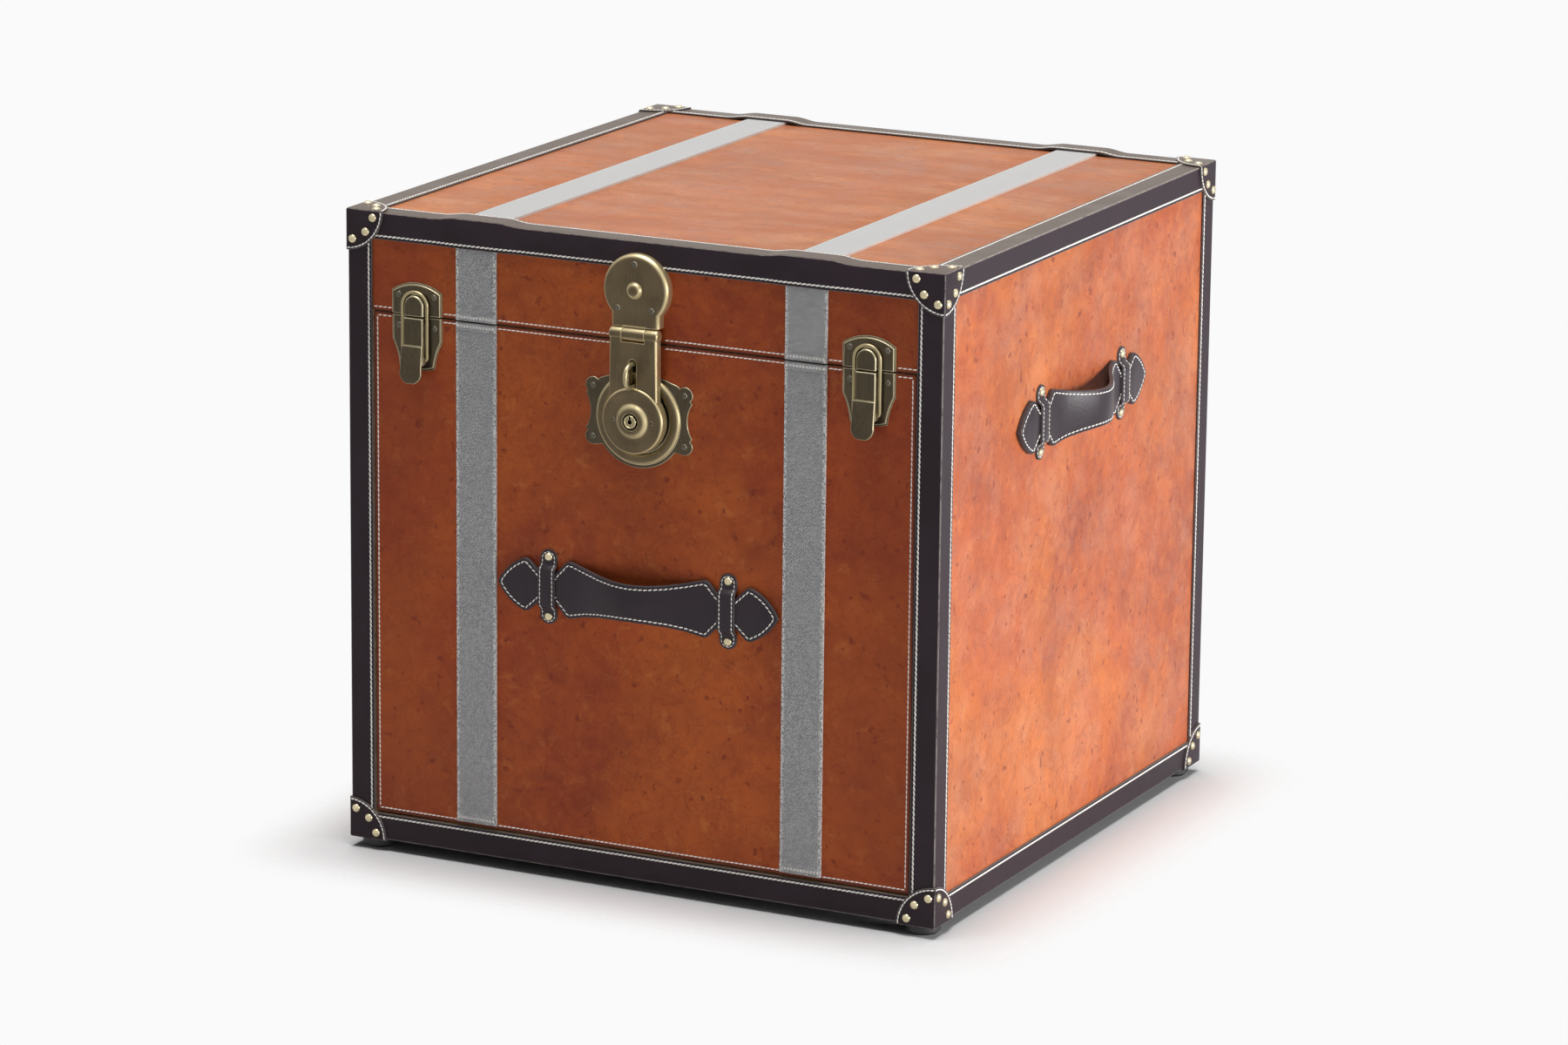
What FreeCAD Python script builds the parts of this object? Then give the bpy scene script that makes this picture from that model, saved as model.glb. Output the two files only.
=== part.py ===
import FreeCAD, Part
import math
import os
import re
import Sketcher
from FreeCAD import Placement, Rotation, Vector

# A cube-shaped drop-front trunk: a leather-covered plywood case with a fixed front rail and a door
# that turns at its lower edge. Frame: origin on the floor under the middle of everything, from the
# staple's tip to the rear nails, +X to the right of someone facing the door, +Y to the back, +Z up.
# All sizes are in millimetres.

doc = FreeCAD.newDocument("Trunk")

# ------------------------------------------------------------------ driving dimensions

SIZES = {
    # the case over its bindings, and what it is made of
    "case_width": 557.5,
    "case_depth": 564.5,
    "case_height": 552.5,
    "board": 12,
    "leather": 1.4,
    "lining": 0.8,
    "binding_width": 23,
    "binding_thickness": 1.6,
    # corners and feet
    "cap_reach": 36,
    "cap_diagonal": 33,
    "cap_thickness": 1.5,
    "nail_radius": 3.7,
    "nail_rise": 2.0,
    "nail_inset": 7.5,
    "foot_height": 9,
    "foot_radius": 15,
    "foot_inset": 18,
    "foot_round": 2.5,
    # webbing straps
    "web_width": 38,
    "web_thickness": 2.2,
    "web_spacing": 309.4,
    "web_end_gap": 2.5,
    "web_bend": 2.4,
    # the door and its opening
    "rail_height": 85.3,
    "seam_gap": 1.4,
    "side_gap": 1.5,
    "sill_gap": 2.1,
    "door_board": 15,
    "stop_clearance": 0.3,
    "stop_overlap": 8,
    "stop_depth": 10,
    "stop_length": 420,
    "pivot_depth": 5,
    "pivot_rise": 6.5,
    "pin_radius": 2.5,
    "pin_in_door": 18,
    "pin_in_stile": 14,
    "bush_radius": 4,
    "bush_length": 12,
    "running_clearance": 0.05,
    "soft_clearance": 0.3,
    # hasp lock: head plate on the rail
    "head_radius": 30.5,
    "head_rise": 45.3,
    "head_thickness": 10,
    "head_round": 5,
    "neck_width": 45,
    "neck_foot": 14.3,
    "boss_radius": 6,
    "boss_proud": 2.4,
    "head_screw_ring": 22,
    # knuckle joint between head and hasp
    "knuckle_radius": 4.8,
    "knuckle_depth": 8,
    "knuckle_rise": 7.8,
    "knuckle_centre": 21,
    "knuckle_gap": 0.3,
    "hasp_pin_radius": 1.6,
    # hasp with its lock disc
    "hasp_width": 45,
    "hasp_back": 5.2,
    "hasp_thickness": 7.8,
    "hasp_round": 3,
    "disc_radius": 28.5,
    "disc_drop": 65.1,
    "disc_thickness": 9,
    "disc_round": 4,
    "dish_radius": 22.5,
    "dish_depth": 1.6,
    "dome_radius": 13.5,
    "dome_proud": 5,
    "plug_radius": 7,
    "plug_proud": 0.8,
    "keyway_width": 1.6,
    "keyway_length": 8,
    "keyway_depth": 4,
    "slot_width": 7.5,
    "slot_length": 27,
    "slot_drop": 26.2,
    "rivet_spacing": 36,
    # lock plate and staple on the door
    "plate_thickness": 1.6,
    "plate_waist": 45.5,
    "plate_shoulder": 24,
    "plate_top": 35.5,
    "plate_foot_radius": 42.5,
    "plate_screw_spread": 86,
    "plate_screw_top": 24,
    "plate_screw_bottom": 19.5,
    "ear_radius": 7.5,
    "ring_radius": 38.3,
    "ring_width": 6.6,
    "ring_height": 4.8,
    "tongue_width": 30,
    "tongue_top": 9,
    "staple_wire": 2.1,
    "staple_height": 24,
    "staple_reach": 28,
    # draw latches, measured from the seam and from the leather
    "latch_offset": 2.725,
    "latch_width": 48,
    "latch_gap": 0.9,
    "latch_bevel": 1.2,
    "strike_thickness": 2.6,
    "strike_shoulder": 20.8,
    "strike_top": 28.4,
    "keeper_width": 18.4,
    "keeper_top": 18.4,
    "keeper_front": 8,
    "base_thickness": 1.8,
    "base_waist": 21.5,
    "base_bottom": 45,
    "base_foot_width": 34,
    "latch_screw_spread": 34,
    "strike_screw_rise": 17.5,
    "base_screw_drop": 9.5,
    "lever_axis_drop": 3.4,
    "lever_axis_depth": 5,
    "lever_head": 2.6,
    "lever_width": 18.4,
    "lever_front": 9,
    "lever_skin": 1.4,
    "lever_step": 24.5,
    "lever_cheek_end": 41,
    "lever_pin_radius": 1.5,
    "thumb_width": 20.2,
    "thumb_end": 56.5,
    "thumb_reach": 14.5,
    "ear_thickness": 1.6,
    "ear_spacing": 11,
    "ear_round": 2.3,
    "bail_wire": 1.5,
    "bail_pivot_drop": 37,
    "bail_pivot_depth": 5.2,
    "bail_clearance": 1.2,
    # leather handles, measured from the leather they stand on
    "handle_length": 265,
    "handle_end_height": 46,
    "handle_waist": 28,
    "handle_body": 45,
    "handle_neck": 22,
    "handle_thickness": 4.2,
    "handle_standoff": 0.5,
    "front_bow": 15,
    "side_bow": 22,
    "bow_start": 68,
    "handle_play": 2.5,
    "loop_spacing": 170,
    "loop_width": 16,
    "loop_height": 65,
    "loop_thickness": 1.8,
    "loop_flat": 32,
    "loop_foot": 42,
    "loop_round": 7,
    "loop_rivet_spacing": 52,
    "front_handle_height": 248,
    "side_handle_height": 391.7,
    # screw heads
    "screw_radius": 2.6,
    "screw_rise": 1.0,
}

sheet = doc.addObject("Spreadsheet::Sheet", "Sizes")
for row, (alias, number) in enumerate(SIZES.items(), start=1):
    sheet.set(f"A{row}", alias)
    sheet.set(f"B{row}", str(number))
    sheet.setAlias(f"B{row}", alias)
doc.recompute()

# Places that several pieces share, written in the sheet's names. Every y is counted from the
# middle of the case, which lies middle_y behind the origin, so fronts are negative.
PLACES = {
    "half_width": "case_width / 2",
    "half_depth": "case_depth / 2",
    "middle_y": "(skin_y + staple_reach - half_depth - cap_thickness - nail_rise) / 2",
    "case_bottom": "foot_height + cap_thickness",
    "case_top": "case_bottom + case_height",
    "middle_z": "(case_bottom + case_top) / 2",
    "skin_x": "half_width - binding_thickness",
    "skin_y": "half_depth - binding_thickness",
    "skin_bottom": "case_bottom + binding_thickness",
    "skin_top": "case_top - binding_thickness",
    "board_x": "skin_x - leather",
    "board_y": "skin_y - leather",
    "board_bottom": "skin_bottom + leather",
    "board_top": "skin_top - leather",
    "door_thickness": "leather + door_board + lining",
    "frame_thickness": "door_thickness + stop_clearance",
    "frame_back": "-skin_y + frame_thickness",
    "cabin_x": "board_x - board",
    "cabin_y": "board_y - board",
    "cabin_bottom": "board_bottom + board",
    "cabin_top": "board_top - board",
    "opening_x": "half_width - binding_width",
    "sill_top": "case_bottom + binding_width",
    "seam": "case_top - rail_height",
    "rail_bottom": "seam + seam_gap / 2",
    "door_x": "opening_x - side_gap",
    "door_bottom": "sill_top + sill_gap",
    "door_top": "seam - seam_gap / 2",
    "pivot_y": "-skin_y + pivot_depth",
    "pivot_z": "door_bottom + pivot_rise",
    "head_z": "seam + head_rise",
    "knuckle_z": "seam + knuckle_rise",
    "disc_z": "seam - disc_drop",
    "slot_z": "seam - slot_drop",
    "hasp_front": "hasp_back + hasp_thickness",
    "disc_front": "hasp_back + disc_thickness",
    "dome_front": "disc_front - dish_depth + dome_proud",
    "latch_x": "(half_width - binding_width + web_spacing / 2 + web_width / 2) / 2 - latch_offset",
    "bail_half": "keeper_width / 2 + bail_clearance + bail_wire",
    "bail_arch_z": "keeper_top - keeper_width / 2",
    "loop_inner": "handle_standoff + handle_thickness + soft_clearance",
}


def named(text):
    """The expression with shared places spelt out and each size read from the sheet."""
    places = r"\b(" + "|".join(PLACES) + r")\b"
    while re.search(places, text):
        text = re.sub(places, lambda found: "(" + PLACES[found.group(1)] + ")", text)
    return re.sub(r"\b(" + "|".join(SIZES) + r")\b", r"Sizes.\1", text)


def at(text):
    """The value of an expression, in millimetres."""
    return float(sheet.evalExpression(named(text)))


def bind(thing, **sizes):
    """Ties the properties of an object to expressions in the sheet's names."""
    for name, text in sizes.items():
        thing.setExpression(name, named(text))


def place(thing, x="0", y="0", z="0", axis=Vector(0, 0, 1), angle=0):
    """Turns an object and ties its origin to a place counted from the middle of the case."""
    thing.Placement = Placement(Vector(), Rotation(axis, angle))
    for coordinate, text in zip("xyz", (x, f"middle_y + {y}", z)):
        thing.setExpression(f".Placement.Base.{coordinate}", named(text))
    return thing


SUBPARTS = []


def subpart(thing, label):
    """Names an object as a sub-part of the trunk."""
    thing.Label = label
    SUBPARTS.append(thing)
    return thing


# ------------------------------------------------------------------ primitives and booleans


def box(x0, x1, y0, y1, z0, z1):
    """A box between two x, two y and two z expressions."""
    made = doc.addObject("Part::Box", "Block")
    bind(made, Length=f"({x1}) - ({x0})", Width=f"({y1}) - ({y0})", Height=f"({z1}) - ({z0})")
    return place(made, x0, y0, z0)


def rod(radius, length, x, y, z, axis=Vector(0, 0, 1), angle=0):
    """A cylinder that starts at a point and runs along +Z, turned about an axis."""
    made = doc.addObject("Part::Cylinder", "Rod")
    bind(made, Radius=radius, Height=length)
    return place(made, x, y, z, axis, angle)


def dome(radius, rise, x, y, z, axis=Vector(1, 0, 0), angle=90):
    """A low head with eight sloping sides on a flat foot. Unturned it faces +Z, by default -Y."""
    out = Rotation(axis, angle).multVec(Vector(0, 0, 1))
    rings = []
    for share, height in ((1, 0), (0.6, 1)):
        ring = doc.addObject("Part::RegularPolygon", "Ring")
        ring.Polygon = 8
        bind(ring, Circumradius=f"({radius}) * {share}")
        spot = [f"({text}) + {round(part * height, 6)} * ({rise})" for text, part in zip((x, y, z), out)]
        rings.append(place(ring, *spot, axis, angle))
    made = doc.addObject("Part::Loft", "Dome")
    made.Sections = rings
    made.Solid = True
    made.Ruled = True
    return made


def cut(base, *tools):
    """The base with each tool's volume taken out."""
    for tool in tools:
        made = doc.addObject("Part::Cut", "Cut")
        made.Base = base
        made.Tool = tool
        base = made
    return base


def group(*things):
    """Separate solids that make one sub-part."""
    made = doc.addObject("Part::Compound", "Group")
    made.Links = list(things)
    return made


def image_of(thing, normal):
    """The mirror image of a thing in the middle plane of the case across a normal."""
    made = doc.addObject("Part::Mirroring", "Image")
    made.Source = thing
    made.Normal = normal
    bind(made, **{".Base.y": "middle_y", ".Base.z": "middle_z"})
    return made


def mirrored(thing, *normals):
    """A thing with its mirror images in the middle planes of the case."""
    for normal in normals:
        thing = group(thing, image_of(thing, normal))
    return thing


RIGHT = Vector(1, 0, 0)
BACK = Vector(0, 1, 0)
UP = Vector(0, 0, 1)

# ------------------------------------------------------------------ sketches and bodies


def new_body(name):
    return doc.addObject("PartDesign::Body", name)


def sketch_on(body, role, offset="0", up="0"):
    """An empty sketch on one of the body's own origin planes, moved along its normal or up."""
    made = body.newObject("Sketcher::SketchObject", "Sketch")
    plane = next(item for item in body.Origin.OriginFeatures if item.Role == role)
    made.AttachmentSupport = [(plane, "")]
    made.MapMode = "FlatFace"
    made.setExpression(".AttachmentOffset.Base.z", named(offset))
    made.setExpression(".AttachmentOffset.Base.y", named(up))
    return made


def pin_coordinate(sketch, kind, index, end, text):
    """Ties one coordinate of a point of a sketch to an expression, measured from the origin."""
    number = sketch.addConstraint(Sketcher.Constraint(kind, -1, 1, index, end, at(text)))
    sketch.setExpression(f"Constraints[{number}]", named(text))


def pin_point(sketch, index, end, x, y):
    pin_coordinate(sketch, "DistanceX", index, end, x)
    pin_coordinate(sketch, "DistanceY", index, end, y)


def arc_centre(start, middle, finish):
    """The centre of the arc through three points, as two expressions."""
    (x0, y0), (x1, y1), (x2, y2) = start, middle, finish
    a, b = f"(({x1}) - ({x0}))", f"(({y1}) - ({y0}))"
    c, d = f"(({x2}) - ({x0}))", f"(({y2}) - ({y0}))"
    twice = f"(2 * ({a} * {d} - {b} * {c}))"
    first = f"({a} * {a} + {b} * {b})"
    second = f"({c} * {c} + {d} * {d})"
    x = f"({x0}) + ({d} * {first} - {b} * {second}) / {twice}"
    y = f"({y0}) + ({a} * {second} - {c} * {first}) / {twice}"
    return x, y


def outline(sketch, start, *steps, closed=True):
    """An outline from a start point, closed unless said otherwise: (x, y) is a straight step, and (x, y, x, y) is an arc
    through the first point to the second. Every coordinate is an expression."""
    corners = [start] + [step[-2:] for step in steps]
    first = sketch.GeometryCount
    ends = []
    for number, step in enumerate(steps):
        begin, finish = [Vector(at(x), at(y), 0) for x, y in corners[number:number + 2]]
        if len(step) == 2:
            sketch.addGeometry(Part.LineSegment(begin, finish))
            ends.append((1, 2))
            continue
        middle = Vector(at(step[0]), at(step[1]), 0)
        # a sketch's arc runs anticlockwise, so one that turns the other way is drawn from its end
        if (middle - begin).cross(finish - middle).z > 0:
            sketch.addGeometry(Part.Arc(begin, middle, finish))
            ends.append((1, 2))
        else:
            sketch.addGeometry(Part.Arc(finish, middle, begin))
            ends.append((2, 1))
    if not closed:
        pin_point(sketch, first, ends[0][0], *start)
    for number, step in enumerate(steps):
        reach = (first + number, ends[number][1])
        pin_point(sketch, *reach, *step[-2:])
        if closed or number + 1 < len(steps):
            after = (number + 1) % len(steps)
            leave = (first + after, ends[after][0])
            sketch.addConstraint(Sketcher.Constraint("Coincident", *reach, *leave))
        if len(step) == 4:
            # the centre lies on the chord's bisector, so one of its coordinates is enough
            begin, finish = corners[number:number + 2]
            centre = arc_centre(begin, step[:2], finish)
            upright = abs(at(finish[1]) - at(begin[1])) > abs(at(finish[0]) - at(begin[0]))
            kind, text = ("DistanceX", centre[0]) if upright else ("DistanceY", centre[1])
            pin_coordinate(sketch, kind, first + number, 3, text)
    return sketch


def even_outline(sketch, start, *steps, last=()):
    """A closed outline that is even about the sketch's upright axis: its right half from a start
    point, straight across, and the same half walked back. The last step may bend, by a point."""
    points = [start] + [step[-2:] for step in steps]
    across = [(f"-({points[-1][0]})", points[-1][1])]
    for number in range(len(steps) - 1, -1, -1):
        goal = (f"-({points[number][0]})", points[number][1])
        if len(steps[number]) == 4:
            goal = (f"-({steps[number][0]})", steps[number][1]) + goal
        across.append(goal)
    return outline(sketch, start, *steps, *across, tuple(last) + tuple(start))


def circle(sketch, x, y, radius):
    """A circle in a sketch, with its centre and radius tied to expressions."""
    index = sketch.addGeometry(Part.Circle(Vector(at(x), at(y), 0), Vector(0, 0, 1), at(radius)))
    pin_point(sketch, index, 3, x, y)
    number = sketch.addConstraint(Sketcher.Constraint("Radius", index, at(radius)))
    sketch.setExpression(f"Constraints[{number}]", named(radius))
    return sketch


def octagon(sketch, x, y, radius):
    """The section of a drawn wire, as eight flats."""
    corners = [
        (f"({x}) + {round(math.cos(turn), 6)} * ({radius})", f"({y}) + {round(math.sin(turn), 6)} * ({radius})")
        for turn in [math.radians(22.5 + 45 * number) for number in range(8)]
    ]
    return outline(sketch, corners[0], *corners[1:], corners[0])


def rectangle(sketch, x0, x1, y0, y1):
    return outline(sketch, (x0, y0), (x1, y0), (x1, y1), (x0, y1), (x0, y0))


def feature(body, kind, sketch, length=None, midplane=False, **settings):
    """A pad, pocket, revolution or groove of a sketch. Without a length it goes through all."""
    made = body.newObject(f"PartDesign::{kind}", kind)
    made.Profile = sketch
    if midplane:
        made.Midplane = True
    if kind in ("Pad", "Pocket"):
        if length:
            bind(made, Length=length)
        else:
            made.Type = "ThroughAll"
    for name, setting in settings.items():
        setattr(made, name, setting)
    doc.recompute()
    return made


def revolve(body, kind, sketch):
    """A revolution or groove of a sketch about the sketch's own horizontal axis."""
    return feature(body, kind, sketch, ReferenceAxis=(sketch, ["H_Axis"]), Angle=360)


def soften(body, kind, size, test):
    """A fillet or chamfer on the edges of the body that pass a test."""
    base = body.Tip
    edges = [
        f"Edge{number}" for number, edge in enumerate(base.Shape.Edges, start=1) if test(edge)
    ]
    made = body.newObject(f"PartDesign::{kind}", kind)
    made.Base = (base, edges)
    bind(made, **{"Radius" if kind == "Fillet" else "Size": size})
    doc.recompute()
    return made


def flat_at(axis, text):
    """A test for edges that lie in one plane across an axis of the body."""
    where = at(text)

    def lies(edge):
        extent = edge.BoundBox
        low = getattr(extent, f"{axis}Min")
        high = getattr(extent, f"{axis}Max")
        return abs(low - where) < 0.01 and abs(high - where) < 0.01

    return lies


# ------------------------------------------------------------------ plywood case and its covers

subpart(box("-board_x", "board_x", "frame_back", "board_y", "board_bottom", "cabin_bottom"), "bottom_board")
subpart(box("-board_x", "board_x", "frame_back", "board_y", "cabin_top", "board_top"), "top_board")
subpart(box("-board_x", "-cabin_x", "frame_back", "cabin_y", "cabin_bottom", "cabin_top"), "left_board")
subpart(box("cabin_x", "board_x", "frame_back", "cabin_y", "cabin_bottom", "cabin_top"), "right_board")
subpart(box("-board_x", "board_x", "cabin_y", "board_y", "cabin_bottom", "cabin_top"), "back_board")

# The face frame that the door closes in. Its bindings lie straight on the sill and the stiles.
subpart(box("-opening_x", "opening_x", "-skin_y", "frame_back", "board_bottom", "sill_top"), "front_sill")
subpart(
    box("-opening_x", "opening_x", "-skin_y + leather", "frame_back", "rail_bottom", "board_top"),
    "front_rail",
)
stile = cut(
    box("opening_x", "board_x", "-skin_y", "frame_back", "board_bottom", "board_top"),
    rod("bush_radius", "bush_length", "opening_x", "pivot_y", "pivot_z", BACK, 90),
    rod(
        "pin_radius + running_clearance", "pin_in_stile", "opening_x", "pivot_y", "pivot_z", BACK, 90
    ),
)
subpart(mirrored(stile, RIGHT), "front_stiles")
subpart(
    box(
        "-stop_length / 2", "stop_length / 2", "frame_back", "frame_back + stop_depth",
        "rail_bottom - stop_overlap", "rail_bottom + stop_depth",
    ),
    "door_stop",
)

# Leather covers of the case. The rail's own piece lies between the front bindings.
subpart(box("-skin_x", "skin_x", "-skin_y", "skin_y", "board_top", "skin_top"), "leather_top")
subpart(box("-skin_x", "skin_x", "-skin_y", "skin_y", "skin_bottom", "board_bottom"), "base_cloth")
subpart(box("-skin_x", "-board_x", "-skin_y", "board_y", "board_bottom", "board_top"), "leather_left")
subpart(box("board_x", "skin_x", "-skin_y", "board_y", "board_bottom", "board_top"), "leather_right")
subpart(box("-skin_x", "skin_x", "board_y", "skin_y", "board_bottom", "board_top"), "leather_back")
subpart(
    box("-opening_x", "opening_x", "-skin_y", "-skin_y + leather", "rail_bottom", "board_top"),
    "leather_rail",
)

# Cloth linings of the cabin, in the order floor, ceiling, back, sides.
subpart(
    box("-cabin_x", "cabin_x", "frame_back", "cabin_y", "cabin_bottom", "cabin_bottom + lining"),
    "lining_floor",
)
subpart(
    box("-cabin_x", "cabin_x", "frame_back + stop_depth", "cabin_y", "cabin_top - lining", "cabin_top"),
    "lining_ceiling",
)
subpart(
    box(
        "-cabin_x", "cabin_x", "cabin_y - lining", "cabin_y",
        "cabin_bottom + lining", "cabin_top - lining",
    ),
    "lining_back",
)
side_lining = box(
    "cabin_x - lining", "cabin_x", "frame_back", "cabin_y - lining",
    "cabin_bottom + lining", "cabin_top - lining",
)
subpart(mirrored(side_lining, RIGHT), "lining_sides")

# ------------------------------------------------------------------ door and its pivots

pivot_hole = rod("pin_radius", "pin_in_door", "door_x - pin_in_door", "pivot_y", "pivot_z", BACK, 90)
subpart(
    cut(
        box("-door_x", "door_x", "-skin_y + leather", "-skin_y + leather + door_board", "door_bottom", "door_top"),
        mirrored(pivot_hole, RIGHT),
    ),
    "door_board",
)
subpart(
    box("-door_x", "door_x", "-skin_y", "-skin_y + leather", "door_bottom", "door_top"), "leather_door"
)
subpart(
    box(
        "-door_x", "door_x", "-skin_y + leather + door_board", "-skin_y + door_thickness",
        "door_bottom", "door_top",
    ),
    "lining_door",
)
pin = rod(
    "pin_radius", "pin_in_door + side_gap + pin_in_stile - running_clearance",
    "door_x - pin_in_door", "pivot_y", "pivot_z", BACK, 90,
)
subpart(mirrored(pin, RIGHT), "door_pivot_pins")
bush = cut(
    rod("bush_radius", "bush_length", "opening_x", "pivot_y", "pivot_z", BACK, 90),
    rod("pin_radius + running_clearance", "bush_length", "opening_x", "pivot_y", "pivot_z", BACK, 90),
)
subpart(mirrored(bush, RIGHT), "pivot_bushes")

# ------------------------------------------------------------------ webbing


def case_strap(label, x):
    """One strap of webbing that climbs the rail, crosses the top and runs down the back."""
    body = new_body(label)
    front = "-skin_y - web_thickness"
    back = "skin_y + web_thickness"
    top = "skin_top + web_thickness"
    bend = "web_bend * (1 - sqrt(0.5))"
    profile = outline(
        sketch_on(body, "YZ_Plane"),
        ("-skin_y", "rail_bottom"),
        ("-skin_y", "skin_top"),
        ("skin_y", "skin_top"),
        ("skin_y", "sill_top + web_end_gap"),
        (back, "sill_top + web_end_gap"),
        (back, f"{top} - web_bend"),
        (f"{back} - {bend}", f"{top} - {bend}", f"{back} - web_bend", top),
        (f"{front} + web_bend", top),
        (f"{front} + {bend}", f"{top} - {bend}", front, f"{top} - web_bend"),
        (front, "rail_bottom"),
        ("-skin_y", "rail_bottom"),
    )
    feature(body, "Pad", profile, "web_width", midplane=True)
    return subpart(place(body, x), label)


case_strap("strap_left", "-web_spacing / 2")
case_strap("strap_right", "web_spacing / 2")
door_strap = box(
    "web_spacing / 2 - web_width / 2", "web_spacing / 2 + web_width / 2",
    "-skin_y - web_thickness", "-skin_y", "door_bottom + web_end_gap", "door_top",
)
subpart(mirrored(door_strap, RIGHT), "door_straps")

# ------------------------------------------------------------------ edge bindings, caps and feet


def binding(name, length, raised=False):
    """A leather strip folded along the upper front edge of a box of the given length. Its legs
    lie on the leather's planes, which meet at the body's origin, and both ends are mitred on
    both faces. Where webbing passes beneath, the strip rises over it."""
    body = new_body(name)
    leg = "(binding_width - binding_thickness)"
    skin = "binding_thickness"

    def folded(rise, hollow):
        """The L of the strip, from a hollow outside the leather to a rise outside it."""
        return outline(
            sketch_on(body, "YZ_Plane"),
            (f"-({rise})", f"-{leg}"),
            (f"-({rise})", rise),
            (leg, rise),
            (leg, hollow),
            (f"-({hollow})", hollow),
            (f"-({hollow})", f"-{leg}"),
            (f"-({rise})", f"-{leg}"),
        )

    feature(body, "Pad", folded(skin, "0"), length, midplane=True)
    soften(body, "Chamfer", "binding_thickness * 0.5", edge_along_x("-binding_thickness", skin))
    end = f"({length} / 2)"
    reach = f"({end} - binding_width)"
    for role, side in (("XZ_Plane", f"-{leg}"), ("XY_Plane", leg)):
        outer = skin if role == "XZ_Plane" else "-binding_thickness"
        mitres = sketch_on(body, role)
        for sign in ("", "-"):
            corners = [(f"{sign}{end}", outer), (f"{sign}{reach}", side), (f"{sign}({end} + 1)", side)]
            corners.append((f"{sign}({end} + 1)", outer))
            outline(mitres, corners[0], *corners[1:], corners[0])
        feature(body, "Pocket", mitres, midplane=True)
    if raised:
        cover = "web_thickness + soft_clearance"
        bump = feature(body, "Pad", folded(f"{cover} + binding_thickness", "0"),
                       "web_width + 2 * (soft_clearance + binding_thickness)", midplane=True)
        channel = feature(body, "Pocket", folded(cover, "0"),
                          "web_width + 2 * soft_clearance", midplane=True)
        bump.Profile[0].setExpression(".AttachmentOffset.Base.z", named("web_spacing / 2"))
        channel.Profile[0].setExpression(".AttachmentOffset.Base.z", named("web_spacing / 2"))
        doc.recompute()
        pair = body.newObject("PartDesign::Mirrored", "Pair")
        pair.Originals = [bump, channel]
        plane = next(item for item in body.Origin.OriginFeatures if item.Role == "YZ_Plane")
        pair.MirrorPlane = (plane, [""])
        body.Tip = pair
        doc.recompute()
    return body


def edge_along_x(y, z):
    """A test for the edge that runs along X at a given y and z."""
    height = at(z)
    depth = at(y)

    def lies(edge):
        middle = edge.BoundBox.Center
        return (
            edge.BoundBox.XLength > 2 * at("cap_reach")
            and abs(middle.y - depth) < 0.01
            and abs(middle.z - height) < 0.01
        )

    return lies


top_front = place(binding("TopFront", "case_width", raised=True), "0", "-skin_y", "skin_top")
subpart(top_front, "binding_top_front")
subpart(image_of(top_front, BACK), "binding_top_rear")
bottom_front = binding("BottomFront", "case_width")
place(bottom_front, "0", "-skin_y", "skin_bottom", RIGHT, 90)
subpart(mirrored(bottom_front, BACK), "bindings_bottom")
depthwise = place(binding("Depthwise", "case_depth"), "skin_x", "0", "skin_top", UP, 90)
subpart(mirrored(depthwise, RIGHT, UP), "bindings_depthwise")
upright = place(binding("Upright", "case_height"), "-skin_x", "-skin_y", "middle_z", BACK, -90)
subpart(mirrored(upright, RIGHT, BACK), "bindings_upright")


def corner_cap():
    """A leather cap of three lobes over the lower left front corner. The body's origin is the
    corner that the bindings would make, and the cap lies outside it."""
    body = new_body("Cap")
    reach = "(cap_reach - cap_thickness)"
    lobe = "(cap_diagonal * sqrt(0.5) - cap_thickness)"
    # The normal of the XZ plane points to -Y and the others' to +, so the lobes are padded apart.
    for role, backwards in (("XY_Plane", True), ("XZ_Plane", False), ("YZ_Plane", True)):
        face = outline(
            sketch_on(body, role),
            ("-cap_thickness", "-cap_thickness"),
            (reach, "-cap_thickness"),
            (lobe, lobe, "-cap_thickness", reach),
            ("-cap_thickness", "-cap_thickness"),
        )
        feature(body, "Pad", face, "cap_thickness", Reversed=backwards)
    soften(
        body, "Chamfer", "cap_thickness * 0.6",
        lambda edge: sum(
            abs(getattr(edge.BoundBox, f"{axis}Max") + at("cap_thickness")) < 0.01 for axis in "XYZ"
        ) == 2,
    )
    return place(body, "-half_width", "-half_depth", "case_bottom")


subpart(mirrored(corner_cap(), RIGHT, BACK, UP), "corner_caps")


def cap_nails(flat, axis, angle):
    """Three domed nails on one lobe of the lower left front corner cap."""
    nails = []
    outside = {"x": "-half_width", "y": "-half_depth", "z": "case_bottom"}
    ring = "(cap_diagonal + cap_thickness - nail_inset)"
    along, across = [name for name in "xyz" if name != flat]
    for turn in (14, 45, 76):
        where = {flat: f"{outside[flat]} - cap_thickness"}
        where[along] = f"{outside[along]} - cap_thickness + {ring} * cos({turn} deg)"
        where[across] = f"{outside[across]} - cap_thickness + {ring} * sin({turn} deg)"
        nails.append(dome("nail_radius", "nail_rise", where["x"], where["y"], where["z"], axis, angle))
    return nails


# The lobes beneath the case are held by the feet and have no nails.
upright_nails = group(*cap_nails("x", BACK, -90), *cap_nails("y", RIGHT, 90))
top_nails = image_of(group(*cap_nails("z", RIGHT, 180)), UP)
all_nails = [mirrored(upright_nails, RIGHT, BACK, UP), mirrored(top_nails, RIGHT, BACK)]
subpart(group(*all_nails), "corner_nails")


def foot():
    """A round glide with a rolled lower rim."""
    body = new_body("Foot")
    feature(body, "Pad", circle(sketch_on(body, "XY_Plane"), "0", "0", "foot_radius"), "foot_height")
    soften(body, "Chamfer", "foot_round", flat_at("Z", "0"))
    return place(body, "half_width - foot_inset", "half_depth - foot_inset")


subpart(mirrored(foot(), RIGHT, BACK), "feet")

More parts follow.
